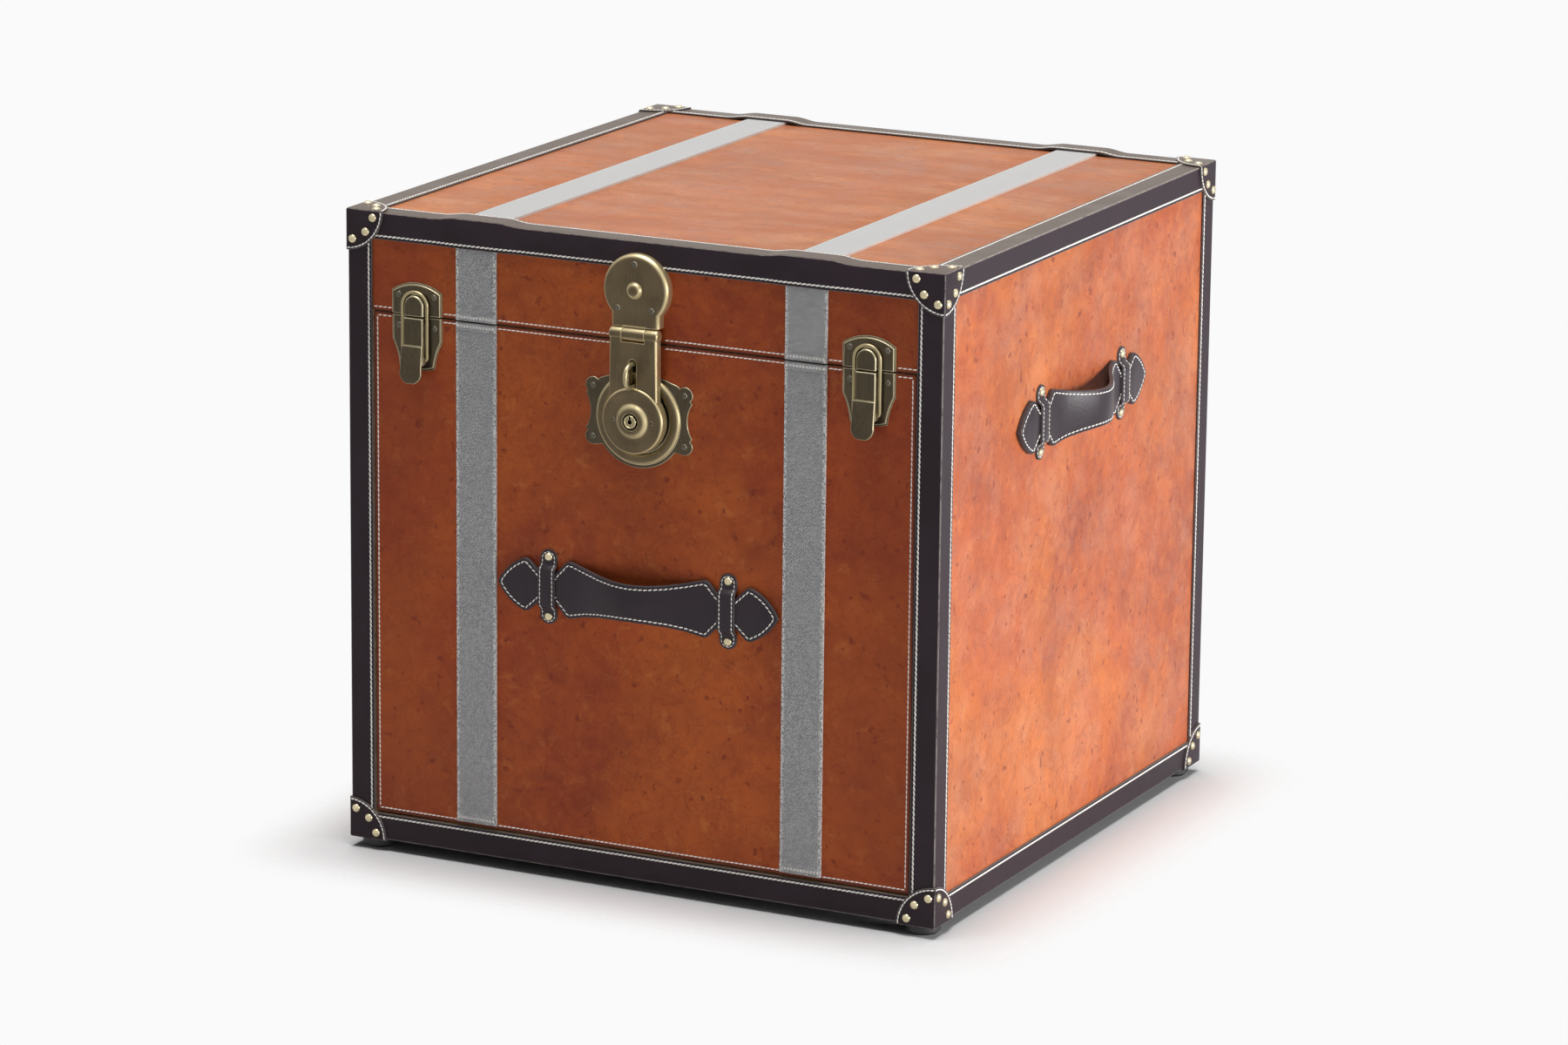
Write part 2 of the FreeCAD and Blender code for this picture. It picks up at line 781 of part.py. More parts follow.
# ------------------------------------------------------------------ hasp lock
# Sketches on XZ_Plane look at the trunk's front, and their pads grow towards the viewer. The
# bodies stand on the leather, so depths are distances in front of it.


def on_front(body, z="0", x="0"):
    return place(body, x, "-skin_y", z)


def lock_head():
    """A round plate with a straight neck, and a tongue that carries the middle knuckle."""
    body = new_body("LockHead")
    half_neck = "neck_width / 2"
    shoulder = "-sqrt(head_radius ^ 2 - (neck_width / 2) ^ 2)"
    foot_z = "neck_foot - head_rise"
    plate = outline(
        sketch_on(body, "XZ_Plane"),
        (f"-{half_neck}", shoulder),
        ("0", "head_radius", half_neck, shoulder),
        (half_neck, foot_z),
        (f"-{half_neck}", foot_z),
        (f"-{half_neck}", shoulder),
    )
    feature(body, "Pad", plate, "head_thickness")
    soften(
        body, "Chamfer", "head_round",
        lambda edge: flat_at("Y", "-head_thickness")(edge)
        and not (edge.BoundBox.ZLength < 0.01 and edge.BoundBox.ZMax < at(foot_z) + 0.01),
    )
    boss = circle(sketch_on(body, "XZ_Plane"), "0", "0", "boss_radius")
    feature(body, "Pad", boss, "head_thickness + boss_proud")
    soften(body, "Chamfer", "boss_proud * 0.6", flat_at("Y", "-head_thickness - boss_proud"))
    # the tongue and the knuckle at its end
    knuckle = "knuckle_rise - head_rise"
    tongue = rectangle(
        sketch_on(body, "YZ_Plane"),
        "-knuckle_depth - knuckle_radius * 0.6", "-knuckle_depth + knuckle_radius * 0.6",
        knuckle, foot_z,
    )
    feature(body, "Pad", tongue, "knuckle_centre", midplane=True)
    barrel = circle(sketch_on(body, "YZ_Plane"), "-knuckle_depth", knuckle, "knuckle_radius")
    feature(body, "Pad", barrel, "knuckle_centre", midplane=True)
    bore = circle(sketch_on(body, "YZ_Plane"), "-knuckle_depth", knuckle, "hasp_pin_radius")
    feature(body, "Pocket", bore, midplane=True)
    # the head's back steps over the binding that it laps
    lap = rectangle(
        sketch_on(body, "YZ_Plane"),
        "-binding_thickness", "1", "case_top - binding_width - head_z", "head_radius + 1",
    )
    feature(body, "Pocket", lap, midplane=True)
    return on_front(body, "head_z")


subpart(lock_head(), "lock_head")


def hasp():
    """The hinged hasp: two outer knuckles, a thick strap with the staple's slot, and a dished
    disc whose dome holds the key plug. The body's origin is the knuckle's axis, on the leather."""
    body = new_body("Hasp")
    disc = "-knuckle_rise - disc_drop"
    inside_rim = "(disc_radius - 2.5)"
    foot_z = f"{disc} + sqrt({inside_rim} ^ 2 - (hasp_width / 2) ^ 2)"
    strap = outline(
        sketch_on(body, "XZ_Plane", "hasp_back"),
        ("hasp_width / 2", foot_z),
        ("hasp_width / 2", "0"),
        ("-hasp_width / 2", "0"),
        ("-hasp_width / 2", foot_z),
        ("0", f"{disc} + {inside_rim}", "hasp_width / 2", foot_z),
    )
    feature(body, "Pad", strap, "hasp_thickness")
    soften(
        body, "Chamfer", "hasp_round * 0.7",
        lambda edge: flat_at("Y", "-hasp_front")(edge) and edge.BoundBox.ZLength > at("slot_length"),
    )
    floor = "-disc_front + dish_depth"
    plug_hole = "plug_radius + running_clearance"
    rim = outline(
        sketch_on(body, "YZ_Plane", up=disc),
        ("-hasp_back", plug_hole),
        ("-hasp_back", "disc_radius"),
        ("-disc_front + disc_round", "disc_radius"),
        ("-disc_front + disc_round * 0.3", "disc_radius - disc_round * 0.3"),
        ("-disc_front", "disc_radius - disc_round"),
        ("-disc_front", "dish_radius"),
        (floor, "dish_radius - dish_depth"),
        (floor, "dome_radius"),
        ("-dome_front + dome_proud * 0.4", "dome_radius * 0.9"),
        ("-dome_front", "dome_radius * 0.68"),
        ("-dome_front", plug_hole),
        ("-hasp_back", plug_hole),
    )
    revolve(body, "Revolution", rim)
    barrel = circle(sketch_on(body, "YZ_Plane"), "-knuckle_depth", "0", "knuckle_radius")
    feature(body, "Pad", barrel, "hasp_width", midplane=True)
    notch = rectangle(
        sketch_on(body, "YZ_Plane"),
        "-hasp_front - 1", "0", "-knuckle_radius - 1.2", "knuckle_radius + 1",
    )
    feature(body, "Pocket", notch, "knuckle_centre + 2 * knuckle_gap", midplane=True)
    bore = circle(
        sketch_on(body, "YZ_Plane"), "-knuckle_depth", "0", "hasp_pin_radius + running_clearance"
    )
    feature(body, "Pocket", bore, midplane=True)
    # the staple's slot, with round ends, and the plug's hole through the strap
    side = "slot_width / 2"
    slot_middle = "-knuckle_rise - slot_drop"
    run = "(slot_length / 2 - slot_width / 2)"
    openings = sketch_on(body, "XZ_Plane")
    outline(
        openings,
        (side, f"{slot_middle} - {run}"),
        (side, f"{slot_middle} + {run}"),
        ("0", f"{slot_middle} + slot_length / 2", f"-{side}", f"{slot_middle} + {run}"),
        (f"-{side}", f"{slot_middle} - {run}"),
        ("0", f"{slot_middle} - slot_length / 2", side, f"{slot_middle} - {run}"),
    )
    circle(openings, "0", disc, plug_hole)
    feature(body, "Pocket", openings, midplane=True)
    return on_front(body, "knuckle_z")


subpart(hasp(), "hasp")
subpart(
    rod("hasp_pin_radius", "hasp_width", "-hasp_width / 2", "-skin_y - knuckle_depth", "knuckle_z", BACK, 90),
    "hasp_pin",
)


def key_plug():
    """The round plug that the key turns, with its keyway."""
    body = new_body("KeyPlug")
    front = "dome_front + plug_proud"
    round_plug = circle(sketch_on(body, "XZ_Plane", "hasp_back"), "0", "0", "plug_radius")
    feature(body, "Pad", round_plug, f"{front} - hasp_back")
    soften(body, "Chamfer", "plug_proud * 0.5", flat_at("Y", f"-({front})"))
    keyway = rectangle(
        sketch_on(body, "XZ_Plane", f"{front} - keyway_depth"),
        "-keyway_width / 2", "keyway_width / 2", "-keyway_length / 2", "keyway_length / 2",
    )
    feature(body, "Pocket", keyway, "keyway_depth + 1", Reversed=True)
    return on_front(body, "disc_z")


subpart(key_plug(), "key_plug")
subpart(
    mirrored(
        dome(
            "screw_radius * 0.7", "screw_rise * 0.6", "rivet_spacing / 2",
            "-skin_y - disc_front + dish_depth", "disc_z",
        ),
        RIGHT,
    ),
    "hasp_rivets",
)


def lock_plate():
    """The plate on the door: four scalloped ears, a raised ring round the hasp's disc, and a
    tongue behind the hasp that the staple stands on. The body's origin is the ring's centre."""
    body = new_body("LockPlate")
    ear_x = "plate_screw_spread / 2"
    side = f"({ear_x} + ear_radius * 0.93)"
    inner = f"({ear_x} - ear_radius * 0.35)"
    notch = f"({ear_x} + ear_radius * 0.68)"
    bulge = f"({ear_x} + ear_radius * 0.7)"
    foot_z = "-sqrt(plate_foot_radius ^ 2 - plate_foot_radius ^ 2 * 0.64)"
    plate = even_outline(
        sketch_on(body, "XZ_Plane"),
        ("plate_foot_radius * 0.8", foot_z),
        (inner, "-plate_screw_bottom - ear_radius * 0.93"),
        (bulge, "-plate_screw_bottom - ear_radius * 0.7", side, "-plate_screw_bottom + ear_radius * 0.35"),
        (notch, "-plate_screw_bottom + ear_radius * 0.6"),
        (side, "-plate_screw_bottom + ear_radius * 0.9"),
        ("plate_waist", "(plate_screw_top - plate_screw_bottom) / 2", side, "plate_screw_top - ear_radius * 0.9"),
        (notch, "plate_screw_top - ear_radius * 0.6"),
        (side, "plate_screw_top - ear_radius * 0.35"),
        (bulge, "plate_screw_top + ear_radius * 0.7", inner, "plate_screw_top + ear_radius * 0.93"),
        (f"{inner} - 2", "plate_screw_top + ear_radius * 0.75"),
        (f"{inner} - 4", "plate_screw_top + ear_radius"),
        ("plate_shoulder", "plate_top"),
        last=("0", "-plate_foot_radius"),
    )
    feature(body, "Pad", plate, "plate_thickness")
    boss = circle(sketch_on(body, "XZ_Plane"), "0", "0", "ring_radius")
    feature(body, "Pad", boss, "ring_height")
    soften(body, "Chamfer", "ring_width * 0.3", flat_at("Y", "-ring_height"))
    hollow = circle(sketch_on(body, "XZ_Plane", "plate_thickness"), "0", "0", "ring_radius - ring_width")
    feature(body, "Pocket", hollow, Reversed=True)
    tongue = rectangle(
        sketch_on(body, "XZ_Plane"),
        "-tongue_width / 2", "tongue_width / 2", "plate_top - 1", "disc_drop - tongue_top",
    )
    feature(body, "Pad", tongue, "plate_thickness")
    return on_front(body, "disc_z")


subpart(lock_plate(), "lock_plate")


def staple():
    """A round-wire staple that stands on edge through the hasp's slot."""
    body = new_body("Staple")
    leg = "(staple_height / 2 - staple_wire)"
    turn = f"(staple_reach - staple_wire - {leg})"
    path = outline(
        sketch_on(body, "YZ_Plane"),
        ("-plate_thickness", f"-{leg}"),
        (f"-{turn}", f"-{leg}"),
        (f"-{turn} - {leg}", "0", f"-{turn}", leg),
        ("-plate_thickness", leg),
        closed=False,
    )
    wire = octagon(sketch_on(body, "XZ_Plane", "plate_thickness"), "0", f"-{leg}", "staple_wire")
    pipe = body.newObject("PartDesign::AdditivePipe", "Wire")
    pipe.Profile = wire
    pipe.Spine = path
    pipe.Transition = 0
    doc.recompute()
    return on_front(body, "slot_z")


subpart(staple(), "staple")

# ------------------------------------------------------------------ draw latches
# Each latch body's origin is the seam on the leather at the latch's middle.


def bevelled_plate(body, thickness, start, *steps):
    feature(body, "Pad", outline(sketch_on(body, "XZ_Plane"), start, *steps), thickness)
    soften(body, "Chamfer", "latch_bevel", flat_at("Y", f"-{thickness}"))


def latch_strike():
    """The plate above the seam, arched at its top, with the half-round pad that the bail holds."""
    body = new_body("Strike")
    side = "latch_width / 2"
    bevelled_plate(
        body, "strike_thickness",
        (f"-{side}", "latch_gap"),
        (side, "latch_gap"),
        (side, "strike_shoulder"),
        ("0", "strike_top", f"-{side}", "strike_shoulder"),
        (f"-{side}", "latch_gap"),
    )
    half = "keeper_width / 2"
    pad = outline(
        sketch_on(body, "XZ_Plane"),
        (f"-{half}", "latch_gap"),
        (half, "latch_gap"),
        (half, "bail_arch_z"),
        ("0", "keeper_top", f"-{half}", "bail_arch_z"),
        (f"-{half}", "latch_gap"),
    )
    feature(body, "Pad", pad, "keeper_front")
    soften(
        body, "Chamfer", "latch_bevel",
        lambda edge: flat_at("Y", "-keeper_front")(edge) and edge.BoundBox.ZMax > at("latch_gap") + 0.1,
    )
    return on_front(body, "seam", "latch_x")


subpart(mirrored(latch_strike(), RIGHT), "latch_strikes")


def latch_base():
    """The plate below the seam, drawn in towards its foot, with two ears for the lever's pin."""
    body = new_body("Base")
    side = "latch_width / 2"
    foot_side = "base_foot_width / 2"
    bevelled_plate(
        body, "base_thickness",
        (f"-{side}", "-latch_gap"),
        (f"-{side}", "-base_waist"),
        (f"-({side} + {foot_side}) / 2 + 1.4", "-(base_waist + base_bottom) / 2", f"-{foot_side}", "-base_bottom"),
        ("0", "-base_bottom - 2.5", foot_side, "-base_bottom"),
        (f"({side} + {foot_side}) / 2 - 1.4", "-(base_waist + base_bottom) / 2", side, "-base_waist"),
        (side, "-latch_gap"),
        (f"-{side}", "-latch_gap"),
    )
    axis_z = "-lever_axis_drop"
    low = f"{axis_z} - ear_round"
    high = f"{axis_z} + ear_round"
    ears = outline(
        sketch_on(body, "YZ_Plane"),
        ("-base_thickness + 0.5", low),
        ("-base_thickness + 0.5", high),
        ("-lever_axis_depth", high),
        ("-lever_axis_depth - ear_round", axis_z, "-lever_axis_depth", low),
        ("-base_thickness + 0.5", low),
    )
    feature(body, "Pad", ears, "ear_spacing", midplane=True)
    between = rectangle(
        sketch_on(body, "YZ_Plane"),
        "-lever_axis_depth - ear_round - 1", "-base_thickness", f"{low} - 1", f"{high} + 1",
    )
    feature(body, "Pocket", between, "ear_spacing - 2 * ear_thickness", midplane=True)
    bore = circle(sketch_on(body, "YZ_Plane"), "-lever_axis_depth", axis_z, "lever_pin_radius")
    feature(body, "Pocket", bore, midplane=True)
    return on_front(body, "seam", "latch_x")


subpart(mirrored(latch_base(), RIGHT), "latch_bases")
lever_pin = rod(
    "lever_pin_radius", "lever_width", "latch_x - lever_width / 2",
    "-skin_y - lever_axis_depth", "seam - lever_axis_drop", BACK, 90,
)
subpart(mirrored(lever_pin, RIGHT), "lever_pins")


def latch_lever(label, x):
    """The throw lever: a channel whose cheeks take the hinge pin and the bail, ending in a wide
    thumb piece that curves away from the door. The body's origin is the seam on the leather."""
    body = new_body(label)
    back = "-lever_front + lever_skin"
    top = "-lever_axis_drop + lever_head"
    heel = "-lever_axis_depth + lever_head"
    round_off = "lever_head * (1 - sqrt(0.5))"
    block = outline(
        sketch_on(body, "YZ_Plane"),
        (heel, "-lever_cheek_end"),
        (heel, "-lever_axis_drop"),
        (f"{heel} - {round_off}", f"{top} - {round_off}", "-lever_axis_depth", top),
        ("-lever_front + lever_head", top),
        (f"-lever_front + {round_off}", f"{top} - {round_off}", "-lever_front", f"{top} - lever_head"),
        ("-lever_front", "-lever_cheek_end"),
        (heel, "-lever_cheek_end"),
    )
    feature(body, "Pad", block, "lever_width", midplane=True)
    inside = rectangle(sketch_on(body, "YZ_Plane"), back, "0", "-lever_cheek_end - 1", f"{top} + 1")
    feature(body, "Pocket", inside, "lever_width - 2 * lever_skin", midplane=True)
    middle_z = "-(lever_step + thumb_end) / 2"
    thumb = outline(
        sketch_on(body, "YZ_Plane"),
        ("-lever_front", "-lever_step"),
        ("-lever_front - 2.2", "-lever_step"),
        (f"-(lever_front + thumb_reach) / 2 - 1.6", middle_z, "-thumb_reach", "-thumb_end"),
        ("-thumb_reach + 1.8", "-thumb_end"),
        (f"-(lever_front + thumb_reach) / 2 + 0.8", middle_z, "-lever_front", "-lever_step"),
    )
    feature(body, "Pad", thumb, "thumb_width", midplane=True)
    trim = sketch_on(body, "XZ_Plane")
    tip = "thumb_width / 2"
    for sign in ("", "-"):
        outline(
            trim,
            (f"{sign}{tip} ", "-thumb_end + 10"),
            (f"{sign}({tip} - 2.2)", "-thumb_end + 3.6", f"{sign}({tip} - 6)", "-thumb_end"),
            (f"{sign}({tip} - 6)", "-thumb_end - 2"),
            (f"{sign}({tip} + 2)", "-thumb_end - 2"),
            (f"{sign}({tip} + 2)", "-thumb_end + 10"),
            (f"{sign}{tip} ", "-thumb_end + 10"),
        )
    feature(body, "Pocket", trim, midplane=True)
    holes = sketch_on(body, "YZ_Plane")
    circle(holes, "-lever_axis_depth", "-lever_axis_drop", "lever_pin_radius + running_clearance")
    circle(holes, "-bail_pivot_depth", "-bail_pivot_drop", "bail_wire + running_clearance")
    feature(body, "Pocket", holes, midplane=True)
    return subpart(on_front(body, "seam", x), label)


def latch_bail(label, x):
    """The wire bail: an arch over the keeper, two legs, and ends turned in through the lever."""
    body = new_body(label)
    half = "bail_half"
    low = "-bail_pivot_drop"
    bend = "bail_wire * 1.4"
    corner = f"{bend} * (1 - sqrt(0.5))"
    inner = "(lever_width / 2 - lever_skin - 1)"
    path = outline(
        sketch_on(body, "XZ_Plane", "bail_pivot_depth"),
        (f"-{inner}", low),
        (f"-{half} + {bend}", low),
        (f"-{half} + {corner}", f"{low} + {corner}", f"-{half}", f"{low} + {bend}"),
        (f"-{half}", "bail_arch_z"),
        ("0", f"bail_arch_z + {half}", half, "bail_arch_z"),
        (half, f"{low} + {bend}"),
        (f"{half} - {corner}", f"{low} + {corner}", f"{half} - {bend}", low),
        (inner, low),
        closed=False,
    )
    wire_end = sketch_on(body, "YZ_Plane", f"-{inner}")
    wire = octagon(wire_end, "-bail_pivot_depth", low, "bail_wire")
    pipe = body.newObject("PartDesign::AdditivePipe", "Wire")
    pipe.Profile = wire
    pipe.Spine = path
    doc.recompute()
    return subpart(on_front(body, "seam", x), label)


for side, x in (("left", "-latch_x"), ("right", "latch_x")):
    latch_lever(f"{side}_lever", x)
    latch_bail(f"{side}_bail", x)


def screw(x, depth, z):
    """The domed head of a screw, standing a depth in front of the leather."""
    return dome("screw_radius", "screw_rise", x, f"-skin_y - ({depth})", z)


head_ring = "head_screw_ring * 0.72"
rail_screws = [
    screw("0", "head_thickness", "head_z + head_screw_ring"),
    screw(head_ring, "head_thickness", f"head_z - {head_ring}"),
    screw(f"-{head_ring}", "head_thickness", f"head_z - {head_ring}"),
]
door_screws = []
for sign in ("", "-"):
    for spread in ("+", "-"):
        latch_screw_x = f"{sign}(latch_x {spread} latch_screw_spread / 2)"
        rail_screws.append(screw(latch_screw_x, "strike_thickness", "seam + strike_screw_rise"))
        door_screws.append(screw(latch_screw_x, "base_thickness", "seam - base_screw_drop"))
    for height in ("plate_screw_top", "-plate_screw_bottom"):
        door_screws.append(screw(f"{sign}plate_screw_spread / 2", "plate_thickness", f"disc_z + ({height})"))
subpart(group(*rail_screws), "rail_screws")
subpart(group(*door_screws), "door_screws")

# ------------------------------------------------------------------ leather handles
# A handle's body has its middle at the origin, stands on the leather at y = 0 and faces -Y.


def handle(label, bow):
    """A strap handle: spade ends, necks under the loops, and a body that narrows to its middle
    and bows away from the case."""
    body = new_body(label)
    back = "-handle_standoff"
    skin = "handle_thickness"
    end = "handle_length / 2"
    rise = f"({bow})"
    # Two arcs that meet at half the bow carry each surface from the neck to the middle.
    half_x = "bow_start / 2"
    quarter = f"{rise} / 2"
    bend = "0.02 * bow_start"
    band = sketch_on(body, "XY_Plane")
    outline(
        band,
        (f"-{end}", back),
        ("-bow_start", back),
        (f"-(bow_start * 0.75)", f"{back} - {rise} * 0.125 ", f"-({half_x})", f"{back} - {quarter}"),
        ("0", f"{back} - {rise}", half_x, f"{back} - {quarter}"),
        ("bow_start * 0.75", f"{back} - {rise} * 0.125", "bow_start", back),
        (end, back),
        (end, f"{back} - {skin}"),
        ("bow_start", f"{back} - {skin}"),
        ("bow_start * 0.75", f"{back} - {skin} - {rise} * 0.125", half_x, f"{back} - {skin} - {quarter}"),
        ("0", f"{back} - {skin} - {rise}", f"-({half_x})", f"{back} - {skin} - {quarter}"),
        ("-bow_start * 0.75", f"{back} - {skin} - {rise} * 0.125", "-bow_start", f"{back} - {skin}"),
        (f"-{end}", f"{back} - {skin}"),
        (f"-{end}", back),
    )
    feature(body, "Pad", band, "handle_end_height", midplane=True)
    # what lies outside the handle's outline is cut away, above and below
    shoulder = "handle_body / 2"
    neck = "handle_neck / 2"
    loop_x = "loop_spacing / 2"
    inside = f"({loop_x} - 6)"
    outside = f"({loop_x} + 6)"
    spade = "handle_end_height / 2 - 0.5"
    for sign in ("", "-"):
        away = f"{sign}(handle_end_height)"
        trim = sketch_on(body, "XZ_Plane")
        outline(
            trim,
            (f"-{end} - 1", away),
            (f"-{end} - 1", "0"),
            (f"-{end}", "0"),
            (f"-({end} - 12)", f"{sign}(handle_end_height * 0.33)", f"-({end} - 24)", f"{sign}({spade})"),
            (f"-({end} - 27)", f"{sign}({spade} + 0.3)", f"-({end} - 30)", f"{sign}({spade} - 1)"),
            (f"-{outside}", f"{sign}({neck})"),
            (f"-{inside}", f"{sign}({neck})"),
            (f"-({inside} - 8)", f"{sign}({shoulder} - 4)"),
            (f"-({inside} - 11)", f"{sign}({shoulder} - 0.6)", f"-({inside} - 17)", f"{sign}({shoulder} - 1)"),
            ("0", f"{sign}(handle_waist / 2)", f"{inside} - 17", f"{sign}({shoulder} - 1)"),
            (f"{inside} - 11", f"{sign}({shoulder} - 0.6)", f"{inside} - 8", f"{sign}({shoulder} - 4)"),
            (inside, f"{sign}({neck})"),
            (outside, f"{sign}({neck})"),
            (f"{end} - 30", f"{sign}({spade} - 1)"),
            (f"{end} - 27", f"{sign}({spade} + 0.3)", f"{end} - 24", f"{sign}({spade})"),
            (f"{end} - 12", f"{sign}(handle_end_height * 0.33)", end, "0"),
            (f"{end} + 1", "0"),
            (f"{end} + 1", away),
            (f"-{end} - 1", away),
        )
        feature(body, "Pocket", trim, midplane=True)
    return body


def loop():
    """A leather loop that holds a handle's neck down, flat at both feet and rounded at its ends."""
    body = new_body("Loop")
    foot_z = "loop_foot / 2"
    flat_z = "loop_flat / 2"
    end_z = "loop_height / 2"
    over = "(loop_inner + loop_thickness)"
    profile = outline(
        sketch_on(body, "YZ_Plane"),
        ("0", end_z),
        ("-loop_thickness", end_z),
        ("-loop_thickness", f"{foot_z} + loop_thickness * 0.6"),
        (f"-{over}", f"{flat_z} + loop_thickness * 0.4"),
        (f"-{over}", f"-({flat_z} + loop_thickness * 0.4)"),
        ("-loop_thickness", f"-({foot_z} + loop_thickness * 0.6)"),
        ("-loop_thickness", f"-{end_z}"),
        ("0", f"-{end_z}"),
        ("0", f"-{foot_z}"),
        ("-loop_inner", f"-{flat_z}"),
        ("-loop_inner", flat_z),
        ("0", foot_z),
        ("0", end_z),
    )
    feature(body, "Pad", profile, "loop_width", midplane=True)
    soften(
        body, "Fillet", "loop_round",
        lambda edge: edge.BoundBox.XLength < 0.01 and edge.BoundBox.ZLength < 0.01
        and abs(abs(edge.BoundBox.ZMax) - at(end_z)) < 0.01,
    )
    return body


front_handle = on_front(handle("FrontHandle", "front_bow"), "foot_height + front_handle_height")
subpart(front_handle, "front_handle")
side_z = "foot_height + side_handle_height"
right_handle = place(handle("RightHandle", "side_bow"), "skin_x", "0", side_z, UP, 90)
subpart(right_handle, "right_handle")
left_handle = place(handle("LeftHandle", "side_bow"), "-skin_x", "0", side_z, UP, -90)
subpart(left_handle, "left_handle")

front_loop = on_front(loop(), "foot_height + front_handle_height", "loop_spacing / 2")
subpart(mirrored(front_loop, RIGHT), "front_handle_loops")
side_loop = place(loop(), "skin_x", "loop_spacing / 2", side_z, UP, 90)
subpart(mirrored(side_loop, RIGHT, BACK), "side_handle_loops")


def loop_rivets(x, y, z, axis, angle):
    """The two domed rivets of one loop."""
    pair = [
        dome("nail_radius", "nail_rise", x, y, f"{z} {sign} loop_rivet_spacing / 2", axis, angle)
        for sign in ("+", "-")
    ]
    return group(*pair)


front_rivets = loop_rivets(
    "loop_spacing / 2", "-skin_y - loop_thickness", "foot_height + front_handle_height", RIGHT, 90
)
subpart(mirrored(front_rivets, RIGHT), "front_handle_rivets")
side_rivets = loop_rivets("skin_x + loop_thickness", "loop_spacing / 2", side_z, BACK, 90)
subpart(mirrored(side_rivets, RIGHT, BACK), "side_handle_rivets")

# ------------------------------------------------------------------ checking and writing

doc.recompute()
faults = [
    f"{thing.Label}: {thing.State}"
    for thing in doc.Objects
    if "Invalid" in thing.State or "Error" in thing.State
]
for thing in SUBPARTS:
    if thing.Shape.isNull() or not thing.Shape.isValid() or not thing.Shape.Solids:
        faults.append(f"{thing.Label}: no valid solid")
if faults:
    raise SystemExit("\n".join(faults))
os.makedirs("parts", exist_ok=True)
for thing in SUBPARTS:
    thing.Shape.exportStep(f"parts/{thing.Label}.step")
    print(thing.Label, len(thing.Shape.Solids), round(thing.Shape.Volume))
print(len(SUBPARTS), "sub-parts")
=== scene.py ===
"""Drop-front leather trunk: webbing straps, nailed corner caps, hasp lock and two draw latches."""

import cmath
import math
import random

import bmesh
import bpy
from mathutils import Euler, Matrix, Vector


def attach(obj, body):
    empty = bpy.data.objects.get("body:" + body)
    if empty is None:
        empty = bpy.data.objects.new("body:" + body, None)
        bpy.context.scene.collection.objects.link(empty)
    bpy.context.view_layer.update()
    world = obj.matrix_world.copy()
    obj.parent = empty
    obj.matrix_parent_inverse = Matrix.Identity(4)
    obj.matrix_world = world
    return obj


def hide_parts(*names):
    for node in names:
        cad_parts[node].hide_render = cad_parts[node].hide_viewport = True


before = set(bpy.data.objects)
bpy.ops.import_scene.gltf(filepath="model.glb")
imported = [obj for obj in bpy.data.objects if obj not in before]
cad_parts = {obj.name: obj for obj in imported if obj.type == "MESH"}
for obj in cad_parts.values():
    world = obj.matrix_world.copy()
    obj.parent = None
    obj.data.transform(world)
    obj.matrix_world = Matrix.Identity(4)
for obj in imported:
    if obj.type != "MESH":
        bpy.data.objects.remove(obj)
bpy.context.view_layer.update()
CHANCE = random.Random(7)
MM = 0.001

# All places are in millimetres: heights from the floor, widths from the middle.
# The leather's faces, and the middle of the sides from front to back
LEATHER_Y = -269.2
BACK_Y = 292.1
SIDE_X = 277.15
TOP_Z = 561.4
MIDDLE_Y = 11.45
# the gap between the rail and the door
SEAM = 477.7
# how thick the leather pieces are
BINDING_THICK = 1.6
CAP_THICK = 1.5
HANDLE_THICK = 4.2
LOOP_THICK = 1.8
# the outer faces of the bindings, and of the corner caps upon them
OUT_X = SIDE_X + BINDING_THICK
OUT_FRONT = LEATHER_Y - BINDING_THICK
OUT_BACK = BACK_Y + BINDING_THICK
OUT_BOTTOM = 10.5
OUT_TOP = TOP_Z + BINDING_THICK
CAP_X = OUT_X + CAP_THICK
CAP_FRONT = OUT_FRONT - CAP_THICK
CAP_BACK = OUT_BACK + CAP_THICK
CAP_BOTTOM = OUT_BOTTOM - CAP_THICK
CAP_TOP = OUT_TOP + CAP_THICK
# the door's turned edges
DOOR_EDGE_X = 252.0
DOOR_EDGE_Z = 38.4
# the middles of the webbing, the latches, the lock's parts, the handles and their loops
WEB_X = 154.7
LATCH_X = 212.0
LOCK_Z = 412.6
STAPLE_Z = 451.5
HASP_Z = 485.5
HEAD_Z = 523.0
FRONT_HANDLE_Z = 257.0
SIDE_HANDLE_Z = 400.7
LOOP_OFFSET = 85.0


# ---------------------------------------------------------------- shared shading effects


def new_effect(name, inputs, outputs):
    """A shader node group with those inputs and masks, its wiring, and its two end nodes' sockets."""
    group = bpy.data.node_groups.new(name, "ShaderNodeTree")
    for label, value in inputs.items():
        item = group.interface.new_socket(name=label, in_out="INPUT", socket_type="NodeSocketFloat")
        item.default_value = value
    for label in outputs:
        group.interface.new_socket(name=label, in_out="OUTPUT", socket_type="NodeSocketFloat")
    inside = group.nodes.new("NodeGroupInput")
    outside = group.nodes.new("NodeGroupOutput")
    return group, Wiring(group), inside.outputs, outside.inputs


